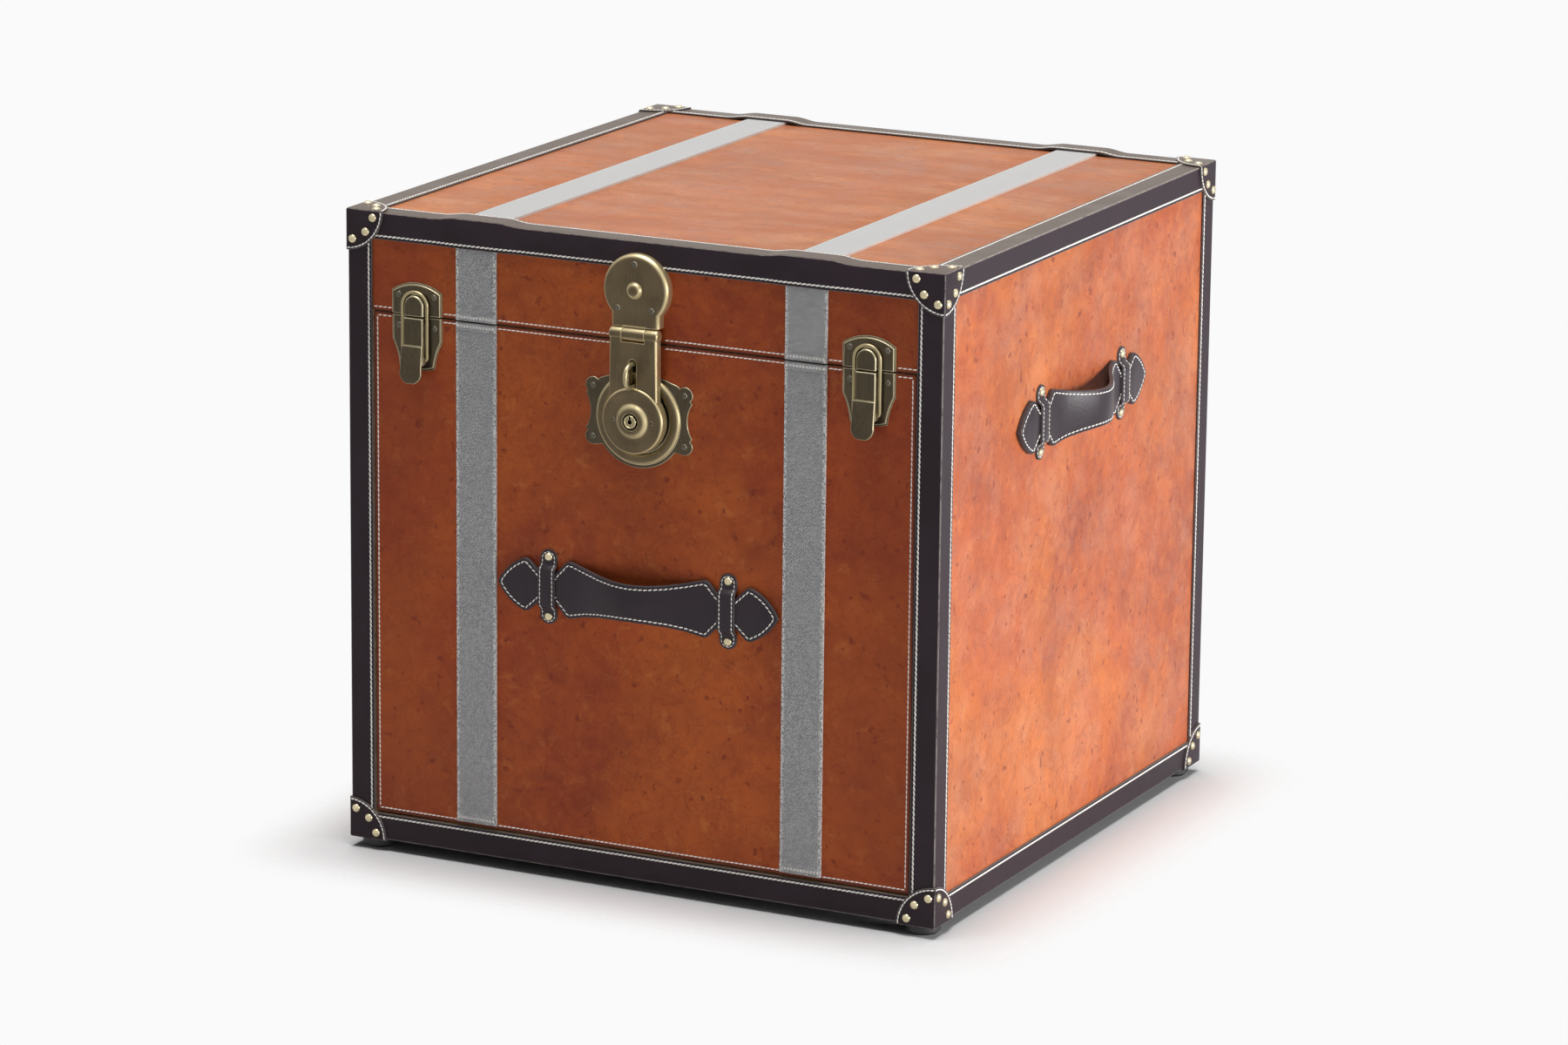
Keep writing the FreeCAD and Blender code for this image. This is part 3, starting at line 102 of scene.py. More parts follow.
class Wiring:
    """Adds nodes to a tree: a value that is a socket is linked, and a plain one is set.

    Colours are plain (red, green, blue).
    """

    def __init__(self, tree):
        self.tree = tree

    def add(self, kind, inputs=(), **settings):
        node = self.tree.nodes.new(kind)
        for name, value in settings.items():
            setattr(node, name, value)
        for key, value in dict(inputs).items():
            self.feed(node.inputs[key], value)
        return node

    def feed(self, entry, value):
        if isinstance(value, bpy.types.NodeSocket):
            self.tree.links.new(value, entry)
        else:
            entry.default_value = (*value, 1.0) if entry.type == "RGBA" else value

    def math(self, operation, a, b=0.0, c=0.0, clamp=False):
        node = self.add("ShaderNodeMath", {0: a, 1: b, 2: c}, operation=operation, use_clamp=clamp)
        return node.outputs[0]

    def times(self, a, b):
        return self.math("MULTIPLY", a, b)

    def mix(self, share, a, b):
        """Colour a turning into colour b. Sockets 6, 7 and 2 are the node's colour ones."""
        return self.add("ShaderNodeMix", {0: share, 6: a, 7: b}, data_type="RGBA").outputs[2]

    def steps(self, value, low, high, to_low=0.0, to_high=1.0):
        node = self.add(
            "ShaderNodeMapRange",
            {0: value, 1: low, 2: high, 3: to_low, 4: to_high},
            interpolation_type="SMOOTHSTEP",
        )
        return node.outputs[0]

    def noise(self, place, scale, detail, rough=0.5, distortion=0.0):
        node = self.add(
            "ShaderNodeTexNoise",
            {"Vector": place, "Scale": scale, "Detail": detail, "Roughness": rough, "Distortion": distortion},
        )
        return node.outputs["Fac"]

    def place(self):
        return self.add("ShaderNodeTexCoord").outputs["Object"]

    def parts(self, vector):
        """The X, Y and Z outputs of a vector."""
        return self.add("ShaderNodeSeparateXYZ", {0: vector}).outputs

    def stretched(self, x, y, z, *noise):
        """A noise whose grain is drawn out, from its scale along each axis."""
        mapping = self.add("ShaderNodeMapping", {"Vector": self.place(), "Scale": (x, y, z)})
        return self.noise(mapping.outputs[0], 1.0, *noise)

    def away(self, value, middle):
        """How far a value lies from a middle one, either way."""
        return self.math("ABSOLUTE", self.math("SUBTRACT", value, middle))


def leather_grain():
    """Pores, creases and soft dents of a hide: a height, and a mask that is 1 in the hollows."""
    group, w, inside, outside = new_effect(
        "leather grain", {"Pores": 900.0, "Creases": 60.0}, ("Height", "Hollows")
    )
    place = w.place()
    pores = w.add("ShaderNodeTexVoronoi", {"Vector": place, "Scale": inside["Pores"]}, feature="F1")
    pebble = w.steps(pores.outputs["Distance"], 0.15, 0.75)
    lines = w.steps(w.away(w.noise(place, inside["Creases"], 6.0, 0.62, 0.6), 0.5), 0.0, 0.05)
    dents = w.times(w.noise(place, 14.0, 2.0), 1.6)
    creased = w.math("MULTIPLY_ADD", lines, 0.35, dents)
    w.feed(outside["Height"], w.math("MULTIPLY_ADD", pebble, -0.35, creased))
    w.feed(outside["Hollows"], w.times(w.math("SUBTRACT", 1.0, lines), pebble))
    return group


def hide_clouds():
    """The uneven dye of a burnished hide: patches, clouds, streaks, veins, rubs and flecks."""
    group, w, _, outside = new_effect(
        "hide clouds", {}, ("Patches", "Clouds", "Streaks", "Veins", "Rubs", "Flecks")
    )
    place = w.place()
    w.feed(outside["Patches"], w.steps(w.noise(place, 4.6, 3.0, 0.5, 0.8), 0.40, 0.60))
    w.feed(outside["Clouds"], w.steps(w.noise(place, 6.5, 6.0, 0.55, 0.5), 0.28, 0.72))
    w.feed(outside["Streaks"], w.steps(w.stretched(34.0, 46.0, 40.0, 9.0, 0.72, 0.4), 0.28, 0.72))
    # thin lines where a noise crosses its middle, kept only in some places
    lines = w.steps(w.away(w.noise(place, 15.0, 5.0, 0.6, 1.2), 0.5), 0.020, 0.0)
    some = w.steps(w.noise(place, 9.0, 2.0), 0.48, 0.62)
    w.feed(outside["Veins"], w.times(lines, some))
    w.feed(outside["Rubs"], w.steps(w.noise(place, 58.0, 8.0, 0.74, 0.5), 0.52, 0.70))
    w.feed(outside["Flecks"], w.steps(w.noise(place, 120.0, 2.0), 0.63, 0.74))
    return group


def edge_wear():
    """A mask of the rubbed edges, broken up by noise, read from rounded normals."""
    group, w, inside, outside = new_effect("edge wear", {"Radius": 0.0008, "Patchiness": 0.35}, ["Mask"])
    rounded = w.add("ShaderNodeBevel", {"Radius": inside["Radius"]}, samples=4).outputs[0]
    flat = w.add("ShaderNodeNewGeometry").outputs["Normal"]
    likeness = w.add("ShaderNodeVectorMath", {0: rounded, 1: flat}, operation="DOT_PRODUCT")
    edge = w.steps(likeness.outputs["Value"], 0.995, 0.86)
    patch = w.times(w.noise(w.place(), 180.0, 3.0), inside["Patchiness"])
    w.feed(outside["Mask"], w.math("SUBTRACT", edge, patch, clamp=True))
    return group


def turned_faces():
    """Masks of where a surface faces: Tops upwards, Rims off the front, Folds off every main way."""
    group, w, _, outside = new_effect("turned faces", {}, ("Rims", "Folds", "Tops"))
    facing = w.parts(w.add("ShaderNodeTexCoord").outputs["Normal"])
    sizes = [w.math("ABSOLUTE", facing[axis]) for axis in "XYZ"]
    largest = w.math("MAXIMUM", sizes[0], w.math("MAXIMUM", sizes[1], sizes[2]))
    w.feed(outside["Rims"], w.steps(sizes[1], 0.985, 0.70))
    w.feed(outside["Folds"], w.steps(largest, 0.95, 0.80))
    w.feed(outside["Tops"], w.steps(facing["Z"], 0.5, 0.9))
    return group


def webbing_weave():
    """Plain weave of thick yarns: a height and a mask of the gaps between them."""
    group, w, inside, outside = new_effect("webbing weave", {"Yarns": 900.0}, ("Height", "Gaps"))
    spread = w.parts(w.place())
    # along the strap, so that one pattern serves the front, the top and the back
    along_strap = w.times(w.math("ADD", spread["Y"], spread["Z"]), 1.5)
    warp, weft = (
        w.math("SINE", w.times(w.times(run, inside["Yarns"]), 2 * math.pi))
        for run in (spread["X"], along_strap)
    )
    height = w.math("MULTIPLY_ADD", w.noise(w.place(), 1400.0, 2.0), 0.5, w.times(warp, weft))
    w.feed(outside["Height"], height)
    w.feed(outside["Gaps"], w.steps(height, -0.2, 0.5, 1.0, 0.0))
    return group


GRAIN = leather_grain()
CLOUDS = hide_clouds()
WEAR = edge_wear()
TURNED = turned_faces()
WEAVE = webbing_weave()


# ---------------------------------------------------------------- materials


def new_material(name, **constants):
    """A material with its surface shader, whose plain numbers sit on the shader's own sockets."""
    material = bpy.data.materials.new(name)
    material.use_nodes = True
    shader = material.node_tree.nodes["Principled BSDF"]
    for key, value in constants.items():
        shader.inputs[key.replace("_", " ")].default_value = value
    return material, Wiring(material.node_tree), shader


def effect(w, group, **values):
    """The masks of a shared effect."""
    node = w.add("ShaderNodeGroup", node_tree=group)
    for key, value in values.items():
        w.feed(node.inputs[key], value)
    return node.outputs


def surfaced(w, shader, base, height, depth, strength, rough=None):
    """Gives a shader its colour, its relief and, where it varies, its roughness."""
    w.feed(shader.inputs["Base Color"], base)
    if rough is not None:
        w.feed(shader.inputs["Roughness"], rough)
    node = w.add("ShaderNodeBump", {"Strength": strength, "Distance": depth, "Height": height})
    w.feed(shader.inputs["Normal"], node.outputs[0])


def shaded(tone, share):
    return tuple(share * part for part in tone)


def burnished_leather(name, dark, middle, light, golden, painted_sheen=0.0, edge=None):
    """Cognac leather with darker burnished clouds, flecks and fine creases.

    With an edge colour, the front is also darkened towards its left and right ends, and given painted shade
    along the seam and round the door.
    """
    material, w, shader = new_material(name, IOR=1.28, Sheen_Weight=0.24, Sheen_Roughness=0.4)
    clouds = effect(w, CLOUDS)
    grain = effect(w, GRAIN, Pores=850.0, Creases=38.0)
    layers = [
        (w.times(w.math("SUBTRACT", 1.0, clouds["Clouds"]), 0.75), dark),
        (w.times(clouds["Streaks"], 0.42), light),
        (w.times(clouds["Veins"], 0.25), dark),
        (w.times(clouds["Rubs"], 0.20), (0.80, 0.30, 0.07)),
    ]
    if painted_sheen:
        # patches of painted sheen: a paler tone that stands for the whiter sheen of lit faces
        sheen_patches = w.steps(w.noise(w.place(), 17.0, 9.0, 0.74, 0.3), 0.38, 0.68)
        layers.append((w.times(sheen_patches, painted_sheen), (0.82, 0.59, 0.44)))
    tops = effect(w, TURNED)["Tops"]
    strokes = w.steps(w.stretched(8.0, 30.0, 30.0, 8.0, 0.66, 0.4), 0.42, 0.60)
    layers += [
        (w.times(clouds["Flecks"], 0.75), dark),
        (w.times(grain["Hollows"], 0.35), dark),
        # painted light: upward faces turn paler and more golden
        (w.times(tops, 0.09), (0.70, 0.54, 0.18)),
        (w.times(tops, w.times(strokes, 0.55)), (0.37, 0.080, 0.003)),
    ]
    if edge is not None:
        spread = w.parts(w.place())
        height = spread["Z"]
        off_middle = w.math("ABSOLUTE", spread["X"])
        beside_seam = w.steps(w.away(height, SEAM * MM), 2.8 * MM, 1.4 * MM)
        below_seam = w.steps(height, SEAM * MM, (SEAM - 1) * MM)
        beside_door = w.times(w.steps(off_middle, DOOR_EDGE_X * MM, (DOOR_EDGE_X + 1.2) * MM), below_seam)
        under_door = w.steps(height, DOOR_EDGE_Z * MM, (DOOR_EDGE_Z - 1.2) * MM)
        # painted shade where the leather rolls into the gaps of the seam and round the door
        rolled = w.math("MAXIMUM", beside_seam, w.math("MAXIMUM", beside_door, under_door))
        layers += [
            (w.times(w.steps(off_middle, 150 * MM, 235 * MM), 0.42), dark),
            (w.times(rolled, 0.85), edge),
        ]
    base = w.mix(w.times(clouds["Patches"], 0.8), middle, golden)
    for share, tone in layers:
        base = w.mix(share, base, tone)
    rough = w.steps(clouds["Streaks"], 0.0, 1.0, 0.38, 0.5)
    surfaced(w, shader, base, grain["Height"], 0.0004, 0.45, rough)
    return material


def dark_leather(name, body_colour, worn_colour, rough=0.42, fold_wear_and_highlight=0.0, gloss=1.25, dust_and_top_light=0.0):
    """Near-black leather whose folded and cut edges are rubbed pale, its folds also pale with painted
    highlight, its tops pale with dust and painted light.
    """
    material, w, shader = new_material(name, IOR=gloss)
    grain = effect(w, GRAIN, Pores=1100.0, Creases=70.0)
    worn = effect(w, WEAR, Radius=0.0012, Patchiness=0.25)
    tone = w.noise(w.place(), 24.0, 4.0)
    base = w.mix(w.steps(tone, 0.3, 0.75), body_colour, shaded(body_colour, 1.4))
    base = w.mix(w.times(worn["Mask"], 0.85), base, worn_colour)
    if fold_wear_and_highlight or dust_and_top_light:
        facing = effect(w, TURNED)
        patch = w.steps(w.noise(w.place(), 160.0, 3.0), 0.25, 0.6)
        # the folds take the pale colour partly as wear and partly as painted highlight from the top light
        base = w.mix(w.times(facing["Folds"], w.times(patch, fold_wear_and_highlight)), base, worn_colour)
        # upward faces turn pale, partly as dust and partly as painted light from above
        base = w.mix(w.times(facing["Tops"], dust_and_top_light), base, (0.38, 0.30, 0.22))
    roughness = w.steps(tone, 0.2, 0.8, rough - 0.06, rough + 0.08)
    surfaced(w, shader, base, grain["Height"], 0.0002, 0.35, roughness)
    return material


def metal(name, body_colour, worn_colour, rough, radius=0.0007, tarnish=0.5, rim_highlight=0.0):
    """Plated metal: tarnished in patches, rubbed bright at its edges, its rims turned off the front given
    painted highlight so that the flats stay darker, finely brushed.
    """
    material, w, shader = new_material(name, Metallic=0.82)
    worn = effect(w, WEAR, Radius=radius, Patchiness=0.15)
    patches = w.noise(w.place(), 45.0, 3.0)
    lines = w.stretched(2400.0, 2400.0, 70.0, 2.0)
    base = w.mix(w.steps(patches, 0.25, 0.7), shaded(body_colour, tarnish), body_colour)
    base = w.mix(w.times(w.steps(lines, 0.35, 0.65), 0.03), base, worn_colour)
    # painted highlight: faces turned off the front take the bright worn colour, as lit rims would show
    if rim_highlight:
        base = w.mix(w.times(effect(w, TURNED)["Rims"], rim_highlight), base, worn_colour)
    base = w.mix(worn["Mask"], base, worn_colour)
    roughness = w.steps(patches, 0.2, 0.8, rough + 0.05, rough - 0.03)
    surfaced(w, shader, base, lines, 0.00003, 0.04, roughness)
    return material


def woven_strap(name):
    """Grey cotton webbing with paler selvedges, painted shade between its yarns and painted light where it
    lies on the top.
    """
    material, w, shader = new_material(name, Roughness=0.9, Sheen_Weight=1.0, Sheen_Roughness=0.5)
    weave = effect(w, WEAVE, Yarns=360.0)
    spread = w.parts(w.place())
    off_middle = w.away(w.math("ABSOLUTE", spread["X"]), WEB_X * MM)
    selvedge = w.steps(off_middle, 15.6 * MM, 17.6 * MM)
    tone = w.noise(w.place(), 620.0, 3.0, 0.65)
    # painted light: the part lying on the top is made nearly white, as its lit sheen would look
    painted_top_light = w.steps(spread["Z"], (TOP_Z - 0.6) * MM, TOP_Z * MM)
    base = w.mix(w.steps(tone, 0.32, 0.68), (0.27, 0.27, 0.285), (0.76, 0.76, 0.76))
    # painted shade in the gaps between the yarns
    base = w.mix(w.times(weave["Gaps"], 0.9), base, (0.11, 0.11, 0.12))
    base = w.mix(w.times(selvedge, w.steps(tone, 0.42, 0.58)), base, (0.86, 0.86, 0.82))
    base = w.mix(w.times(painted_top_light, 0.88), base, (0.95, 0.94, 0.92))
    surfaced(w, shader, base, weave["Height"], 0.0006, 0.8)
    return material


def cloth(name, body_colour, threads):
    """A plain woven cloth."""
    material, w, shader = new_material(name, Roughness=0.92)
    weave = effect(w, WEAVE, Yarns=threads)
    tone = w.noise(w.place(), 60.0, 5.0, 0.6)
    shade = shaded(body_colour, 0.7)
    base = w.mix(w.steps(tone, 0.25, 0.8), shade, body_colour)
    # painted shade in the gaps between the yarns
    base = w.mix(w.times(weave["Gaps"], 0.3), base, shade)
    surfaced(w, shader, base, weave["Height"], 0.0003, 0.5)
    return material


def plywood(name):
    """Pale birch ply with long grain."""
    material, w, shader = new_material(name, Roughness=0.6)
    lines = w.stretched(8.0, 8.0, 120.0, 6.0, 0.6, 0.8)
    base = w.mix(w.steps(lines, 0.3, 0.7), (0.42, 0.27, 0.14), (0.66, 0.49, 0.30))
    surfaced(w, shader, base, lines, 0.0003, 0.4)
    return material


def thread(name):
    """Waxed cream thread."""
    material, w, shader = new_material(name, Roughness=0.6)
    tone = w.steps(w.noise(w.place(), 500.0, 2.0), 0.3, 0.7)
    base = w.mix(tone, (0.86, 0.83, 0.76), (0.97, 0.96, 0.92))
    surfaced(w, shader, base, w.noise(w.place(), 2500.0, 2.0), 0.0002, 0.5)
    return material


def moulded(name):
    """Matt black moulded rubber."""
    material, w, shader = new_material(name, Roughness=0.55)
    speckle = w.noise(w.place(), 900.0, 3.0)
    base = w.mix(speckle, (0.012, 0.012, 0.012), (0.035, 0.033, 0.032))
    surfaced(w, shader, base, speckle, 0.0002, 0.4)
    return material


# The top, sides and back take paler, less saturated colours than the front and patches of painted sheen: a
# lit copy of the front's leather.
TAN = burnished_leather(
    "cognac leather",
    dark=(0.22, 0.030, 0.008), middle=(0.42, 0.072, 0.012),
    light=(0.68, 0.175, 0.036), golden=(0.60, 0.165, 0.023), painted_sheen=0.11,
)
FRONT_TAN = burnished_leather(
    "cognac leather with rolled edges",
    dark=(0.20, 0.025, 0.006), middle=(0.370, 0.052, 0.008),
    light=(0.60, 0.128, 0.024), golden=(0.51, 0.112, 0.014),
    # edge: the colour of the painted shade along the seam and round the door
    edge=(0.11, 0.022, 0.010),
)
EDGING = dark_leather(
    "edging leather", (0.024, 0.015, 0.020), (0.36, 0.32, 0.30), fold_wear_and_highlight=0.5, dust_and_top_light=0.27
)
STRAPPING = dark_leather(
    "handle leather", (0.023, 0.015, 0.020), (0.26, 0.23, 0.25), 0.33, gloss=1.33
)
CUT_EDGE = dark_leather("cut edge", (0.075, 0.064, 0.066), (0.24, 0.22, 0.22), 0.5)
OLD_BRASS = metal("old brass", (0.124, 0.090, 0.049), (0.78, 0.65, 0.37), 0.38, 0.0012, 0.68, 0.75)
DARK_BRASS = metal("darkened brass", (0.066, 0.050, 0.029), (0.80, 0.71, 0.47), 0.36, 0.001, 0.75, 0.6)
RUBBED_BRASS = metal("rubbed brass", (0.33, 0.27, 0.15), (0.72, 0.62, 0.37), 0.34, 0.0009, 0.8, 0.5)
SCREW_BRASS = metal("screw brass", (0.060, 0.050, 0.036), (0.62, 0.58, 0.46), 0.34, 0.0003, 0.8, 0.9)
RECESS_BRASS = metal("brass in the shade", (0.020, 0.016, 0.010), (0.05, 0.04, 0.03), 0.6)
NAIL_BRASS = metal("bright brass", (0.68, 0.59, 0.38), (0.80, 0.72, 0.50), 0.28, 0.0004, 0.85)
STEEL = metal("steel", (0.50, 0.49, 0.47), (0.7, 0.7, 0.68), 0.3)
WEBBING = woven_strap("strap webbing")
LINING = cloth("lining cloth", (0.50, 0.42, 0.30), 500.0)
BASE_CLOTH = cloth("base cloth", (0.022, 0.021, 0.022), 400.0)
PLY = plywood("birch ply")
THREAD = thread("cream thread")
RUBBER = moulded("foot rubber")

CAD_FINISHES = {
    TAN: "leather_top leather_left leather_right leather_back",
    FRONT_TAN: "leather_rail leather_door",
    EDGING: (
        "binding_top_front binding_top_rear bindings_bottom bindings_depthwise bindings_upright "
        "corner_caps"
    ),
    PLY: (
        "bottom_board top_board left_board right_board back_board door_board front_sill front_rail "
        "front_stiles door_stop"
    ),
    LINING: "lining_floor lining_ceiling lining_back lining_sides lining_door",
    BASE_CLOTH: "base_cloth",
    WEBBING: "strap_left strap_right door_straps",
    STRAPPING: "front_handle right_handle left_handle front_handle_loops side_handle_loops",
    OLD_BRASS: "lock_head hasp staple left_bail right_bail pivot_bushes",
    DARK_BRASS: (
        "lock_plate latch_strikes latch_bases left_lever right_lever rail_screws door_screws hasp_rivets"
    ),
    NAIL_BRASS: "corner_nails front_handle_rivets side_handle_rivets",
    RUBBED_BRASS: "key_plug",
    STEEL: "hasp_pin lever_pins door_pivot_pins",
    RUBBER: "feet",
}
for finish, names in CAD_FINISHES.items():
    for name in names.split():
        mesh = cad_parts[name].data
        mesh.materials.clear()
        mesh.materials.append(finish)


# ---------------------------------------------------------------- making pieces
# A fitting is shaped with its back on the plane y = 0, facing -Y, in millimetres, and then moved
# to its place on the trunk.


def shifted(x=0.0, out=0.0, z=0.0):
    return Matrix.Translation(Vector((x, -out, z)) * MM)


def turned_about(axis, turn):
    return Matrix.Rotation(turn, 4, axis)


def on_front(x=0.0, z=0.0, out=0.0):
    return shifted(x, out - LEATHER_Y, z)


def on_side(sign, y, z, out=0.0):
    """On the right side for a sign of 1, and on the left for -1. y is counted from the middle."""
    place = shifted(sign * SIDE_X, -MIDDLE_Y - y, z)
    return place @ turned_about("Z", sign * math.pi / 2) @ shifted(out=out)


def deselect():
    bpy.ops.object.select_all(action="DESELECT")


def hold(piece):
    """Makes a piece the only selected one."""
    deselect()
    piece.select_set(True)
    bpy.context.view_layer.objects.active = piece


def open_mesh(piece, mode="FACE"):
    """Enters edit mode with all of the piece selected."""
    hold(piece)
    bpy.ops.object.mode_set(mode="EDIT")
    bpy.ops.mesh.select_mode(type=mode)
    bpy.ops.mesh.select_all(action="SELECT")


def close_mesh():
    """Merges doubles, drops loose edges, turns the faces outwards and leaves edit mode."""
    bpy.ops.mesh.select_all(action="SELECT")
    bpy.ops.mesh.remove_doubles(threshold=0.000005)
    bpy.ops.mesh.delete_loose()
    bpy.ops.mesh.select_all(action="SELECT")
    bpy.ops.mesh.normals_make_consistent(inside=False)
    bpy.ops.object.mode_set(mode="OBJECT")


def pick(piece, kind, test):
    """Selects the faces or edges whose middle, in millimetres, and direction pass a test."""
    bpy.ops.mesh.select_mode(type="FACE" if kind == "faces" else "EDGE")
    bpy.ops.mesh.select_all(action="DESELECT")
    shape = bmesh.from_edit_mesh(piece.data)
    for item in getattr(shape, kind):
        middle = sum((corner.co for corner in item.verts), Vector()) / len(item.verts) / MM
        if test(item, middle):
            item.select_set(True)
    bmesh.update_edit_mesh(piece.data)


def named(piece, name):
    piece.name = name
    piece.data.name = name
    return piece


def flat_face(name, points):
    """A flat face with those corners, given as (x, out, z)."""
    deselect()
    bpy.ops.mesh.primitive_circle_add(vertices=len(points), radius=0.01, fill_type="NGON")
    piece = named(bpy.context.object, name)
    for corner, (x, out, z) in zip(piece.data.vertices, points):
        corner.co = Vector((x, -out, z)) * MM
    return piece


def bow(start, middle, end, steps):
    """Points of the arc through three points, without the first."""
    a, b, c = (complex(*point) for point in (start, middle, end))
    ratio = (c - a) / (b - a)
    centre = a - (a - b) * (ratio - abs(ratio) ** 2) / 2j / ratio.imag
    first, through, last = (cmath.phase(point - centre) for point in (a, b, c))
    span = (last - first) % (2 * math.pi)
    if (through - first) % (2 * math.pi) > span:
        span -= 2 * math.pi
    arc = [centre + (a - centre) * cmath.rect(1, span * step / steps) for step in range(1, steps + 1)]
    return [(point.real, point.imag) for point in arc]


def outline(start, *steps, fine=10):
    """Corners of an outline from straight steps (x, z) and arcs (mx, mz, x, z)."""
    points = [start]
    for step in steps:
        if len(step) == 2:
            points.append(step)
        else:
            points.extend(bow(points[-1], step[:2], step[2:], fine))
    if math.dist(points[0], points[-1]) < 1e-6:
        points.pop()
    return points


def round_edges(width, rounds):
    """Rounds the picked edges."""
    bpy.ops.mesh.bevel(
        offset=width * MM, segments=rounds, profile=0.5, affect="EDGES", clamp_overlap=False
    )


def slab(name, corners, back, front, rim=0.0, rounds=4, rounded=None, back_rim=0.0):
    """A plate of that outline between two heights, its outer rim rounded where a test allows."""
    piece = flat_face(name, [(x, back, z) for x, z in corners])
    open_mesh(piece)
    bpy.ops.mesh.extrude_region_move(TRANSFORM_OT_translate={"value": (0, -(front - back) * MM, 0)})
    for height, width in ((front, rim), (back, back_rim)):
        if width:
            pick(
                piece, "edges",
                lambda edge, middle: abs(middle.y + height) < 0.01
                and abs(edge.verts[0].co.y - edge.verts[1].co.y) < 1e-6
                and (rounded is None or rounded(middle)),
            )
            round_edges(width, rounds)
    close_mesh()
    return piece


def turned(name, profile, steps):
    """A turned piece about the axis -Y through the origin, from (radius, out) pairs."""
    piece = flat_face(name, [(radius, out, 0) for radius, out in profile])
    open_mesh(piece, "EDGE")
    bpy.ops.mesh.delete(type="ONLY_FACE")
    bpy.ops.mesh.select_all(action="SELECT")
    bpy.ops.mesh.spin(steps=steps, angle=2 * math.pi, center=(0, 0, 0), axis=(0, 1, 0))
    close_mesh()
    return piece


def wire(name, points, radius, sides=3):
    """A round wire with closed ends through points (x, out, z)."""
    deselect()
    bpy.ops.curve.primitive_nurbs_path_add(radius=0.01)
    piece = bpy.context.object
    line = piece.data
    line.splines.clear()
    line.dimensions = "3D"
    run = line.splines.new("POLY")
    run.points.add(len(points) - 1)
    for knot, (x, out, z) in zip(run.points, points):
        knot.co = (x * MM, -out * MM, z * MM, 1.0)
    line.bevel_depth = radius * MM
    line.bevel_resolution = sides
    line.use_fill_caps = True
    bpy.ops.object.convert(target="MESH")
    piece = named(bpy.context.object, name)
    open_mesh(piece)
    close_mesh()
    return piece


def slices(piece, axis, places):
    """Cuts a piece's faces across at several places along X (0) or Z (2), so that it can bend."""
    open_mesh(piece)
    normal = Vector([float(index == axis) for index in range(3)])
    for place in places:
        bpy.ops.mesh.select_all(action="SELECT")
        bpy.ops.mesh.bisect(plane_co=normal * place * MM, plane_no=normal)
    close_mesh()


def bend(piece, rule):
    """Moves every corner out from the leather by a rule of its x and z, in millimetres."""
    for corner in piece.data.vertices:
        corner.co.y -= rule(corner.co.x / MM, corner.co.z / MM) * MM


def modified(piece, kind, **settings):
    hold(piece)
    modifier = piece.modifiers.new(kind.title(), kind)
    for key, value in settings.items():
        setattr(modifier, key, value)
    bpy.ops.object.modifier_apply(modifier=modifier.name)


def cut_out(piece, *tools, keep_inside=False):
    """Cuts shapes out of a piece, or what lies outside them, and uses them up."""
    for tool in tools:
        way = "INTERSECT" if keep_inside else "DIFFERENCE"
        modified(piece, "BOOLEAN", object=tool, operation=way, solver="EXACT")
        bpy.data.objects.remove(tool)


def joined(name, *pieces):
    hold(pieces[0])
    for piece in pieces:
        piece.select_set(True)
    bpy.ops.object.join()
    return named(bpy.context.object, name)


def moved(piece, matrix):
    piece.data.transform(matrix)
    return piece


def set_of(name, pattern, matrices):
    """Copies of one shape at several places, as one piece. The pattern is used up."""
    pieces = []
    for matrix in matrices:
        twin = pattern.copy()
        twin.data = pattern.data.copy()
        bpy.context.collection.objects.link(twin)
        moved(twin, matrix)
        if matrix.determinant() < 0:
            twin.data.flip_normals()
        pieces.append(twin)
    bpy.data.objects.remove(pattern)
    return joined(name, *pieces)


def two_tone(piece, main, other, is_other):
    """Gives a piece two finishes, the second one on the faces that pass a test."""
    piece.data.materials.append(main)
    piece.data.materials.append(other)
    for face in piece.data.polygons:
        face.material_index = 1 if is_other(face) else 0


def finished(piece, body, slot, *nodes, finish=None, smooth=35.0):
    """Finishes a piece: its body, a slot that is not used, and the nodes it stands for, which are hidden."""
    hold(piece)
    bpy.ops.object.transform_apply(location=True, rotation=True, scale=True)
    bpy.ops.object.shade_smooth_by_angle(angle=math.radians(smooth))
    if finish is not None:
        piece.data.materials.clear()
        piece.data.materials.append(finish)
    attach(piece, body)
    if nodes:
        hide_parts(*nodes)


def quarter_arc(middle, out, width, height, last=90):
    """Points of an elliptic arc about (middle, out), from its outer side up, in degrees."""
    turns = [math.radians(turn) for turn in range(0, last + 1, 15)]
    return [(middle + width * math.cos(turn), out + height * math.sin(turn)) for turn in turns]


# ---------------------------------------------------------------- small heads


def screw_head():
    """A pan head with a cross recess."""
    head = turned("screw", [(0, -0.3), (2.6, -0.3), (2.6, 0.2), (2.35, 0.65), (1.7, 0.95), (0, 1.05)], 20)
    for turn in (20, 110):
        arm = slab("arm", [(-1.45, -0.33), (1.45, -0.33), (1.45, 0.33), (-1.45, 0.33)], 0.35, 2.0)
        cut_out(head, moved(arm, turned_about("Y", math.radians(turn))))
    return head


def nail_head():
    """A domed nail with a thin rim."""
    profile = [
        (0, -0.4), (3.5, -0.4), (3.7, 0.15), (3.45, 0.75), (2.8, 1.4), (1.8, 1.85), (0.8, 2.0), (0, 2.02),
    ]
    return turned("nail", profile, 18)


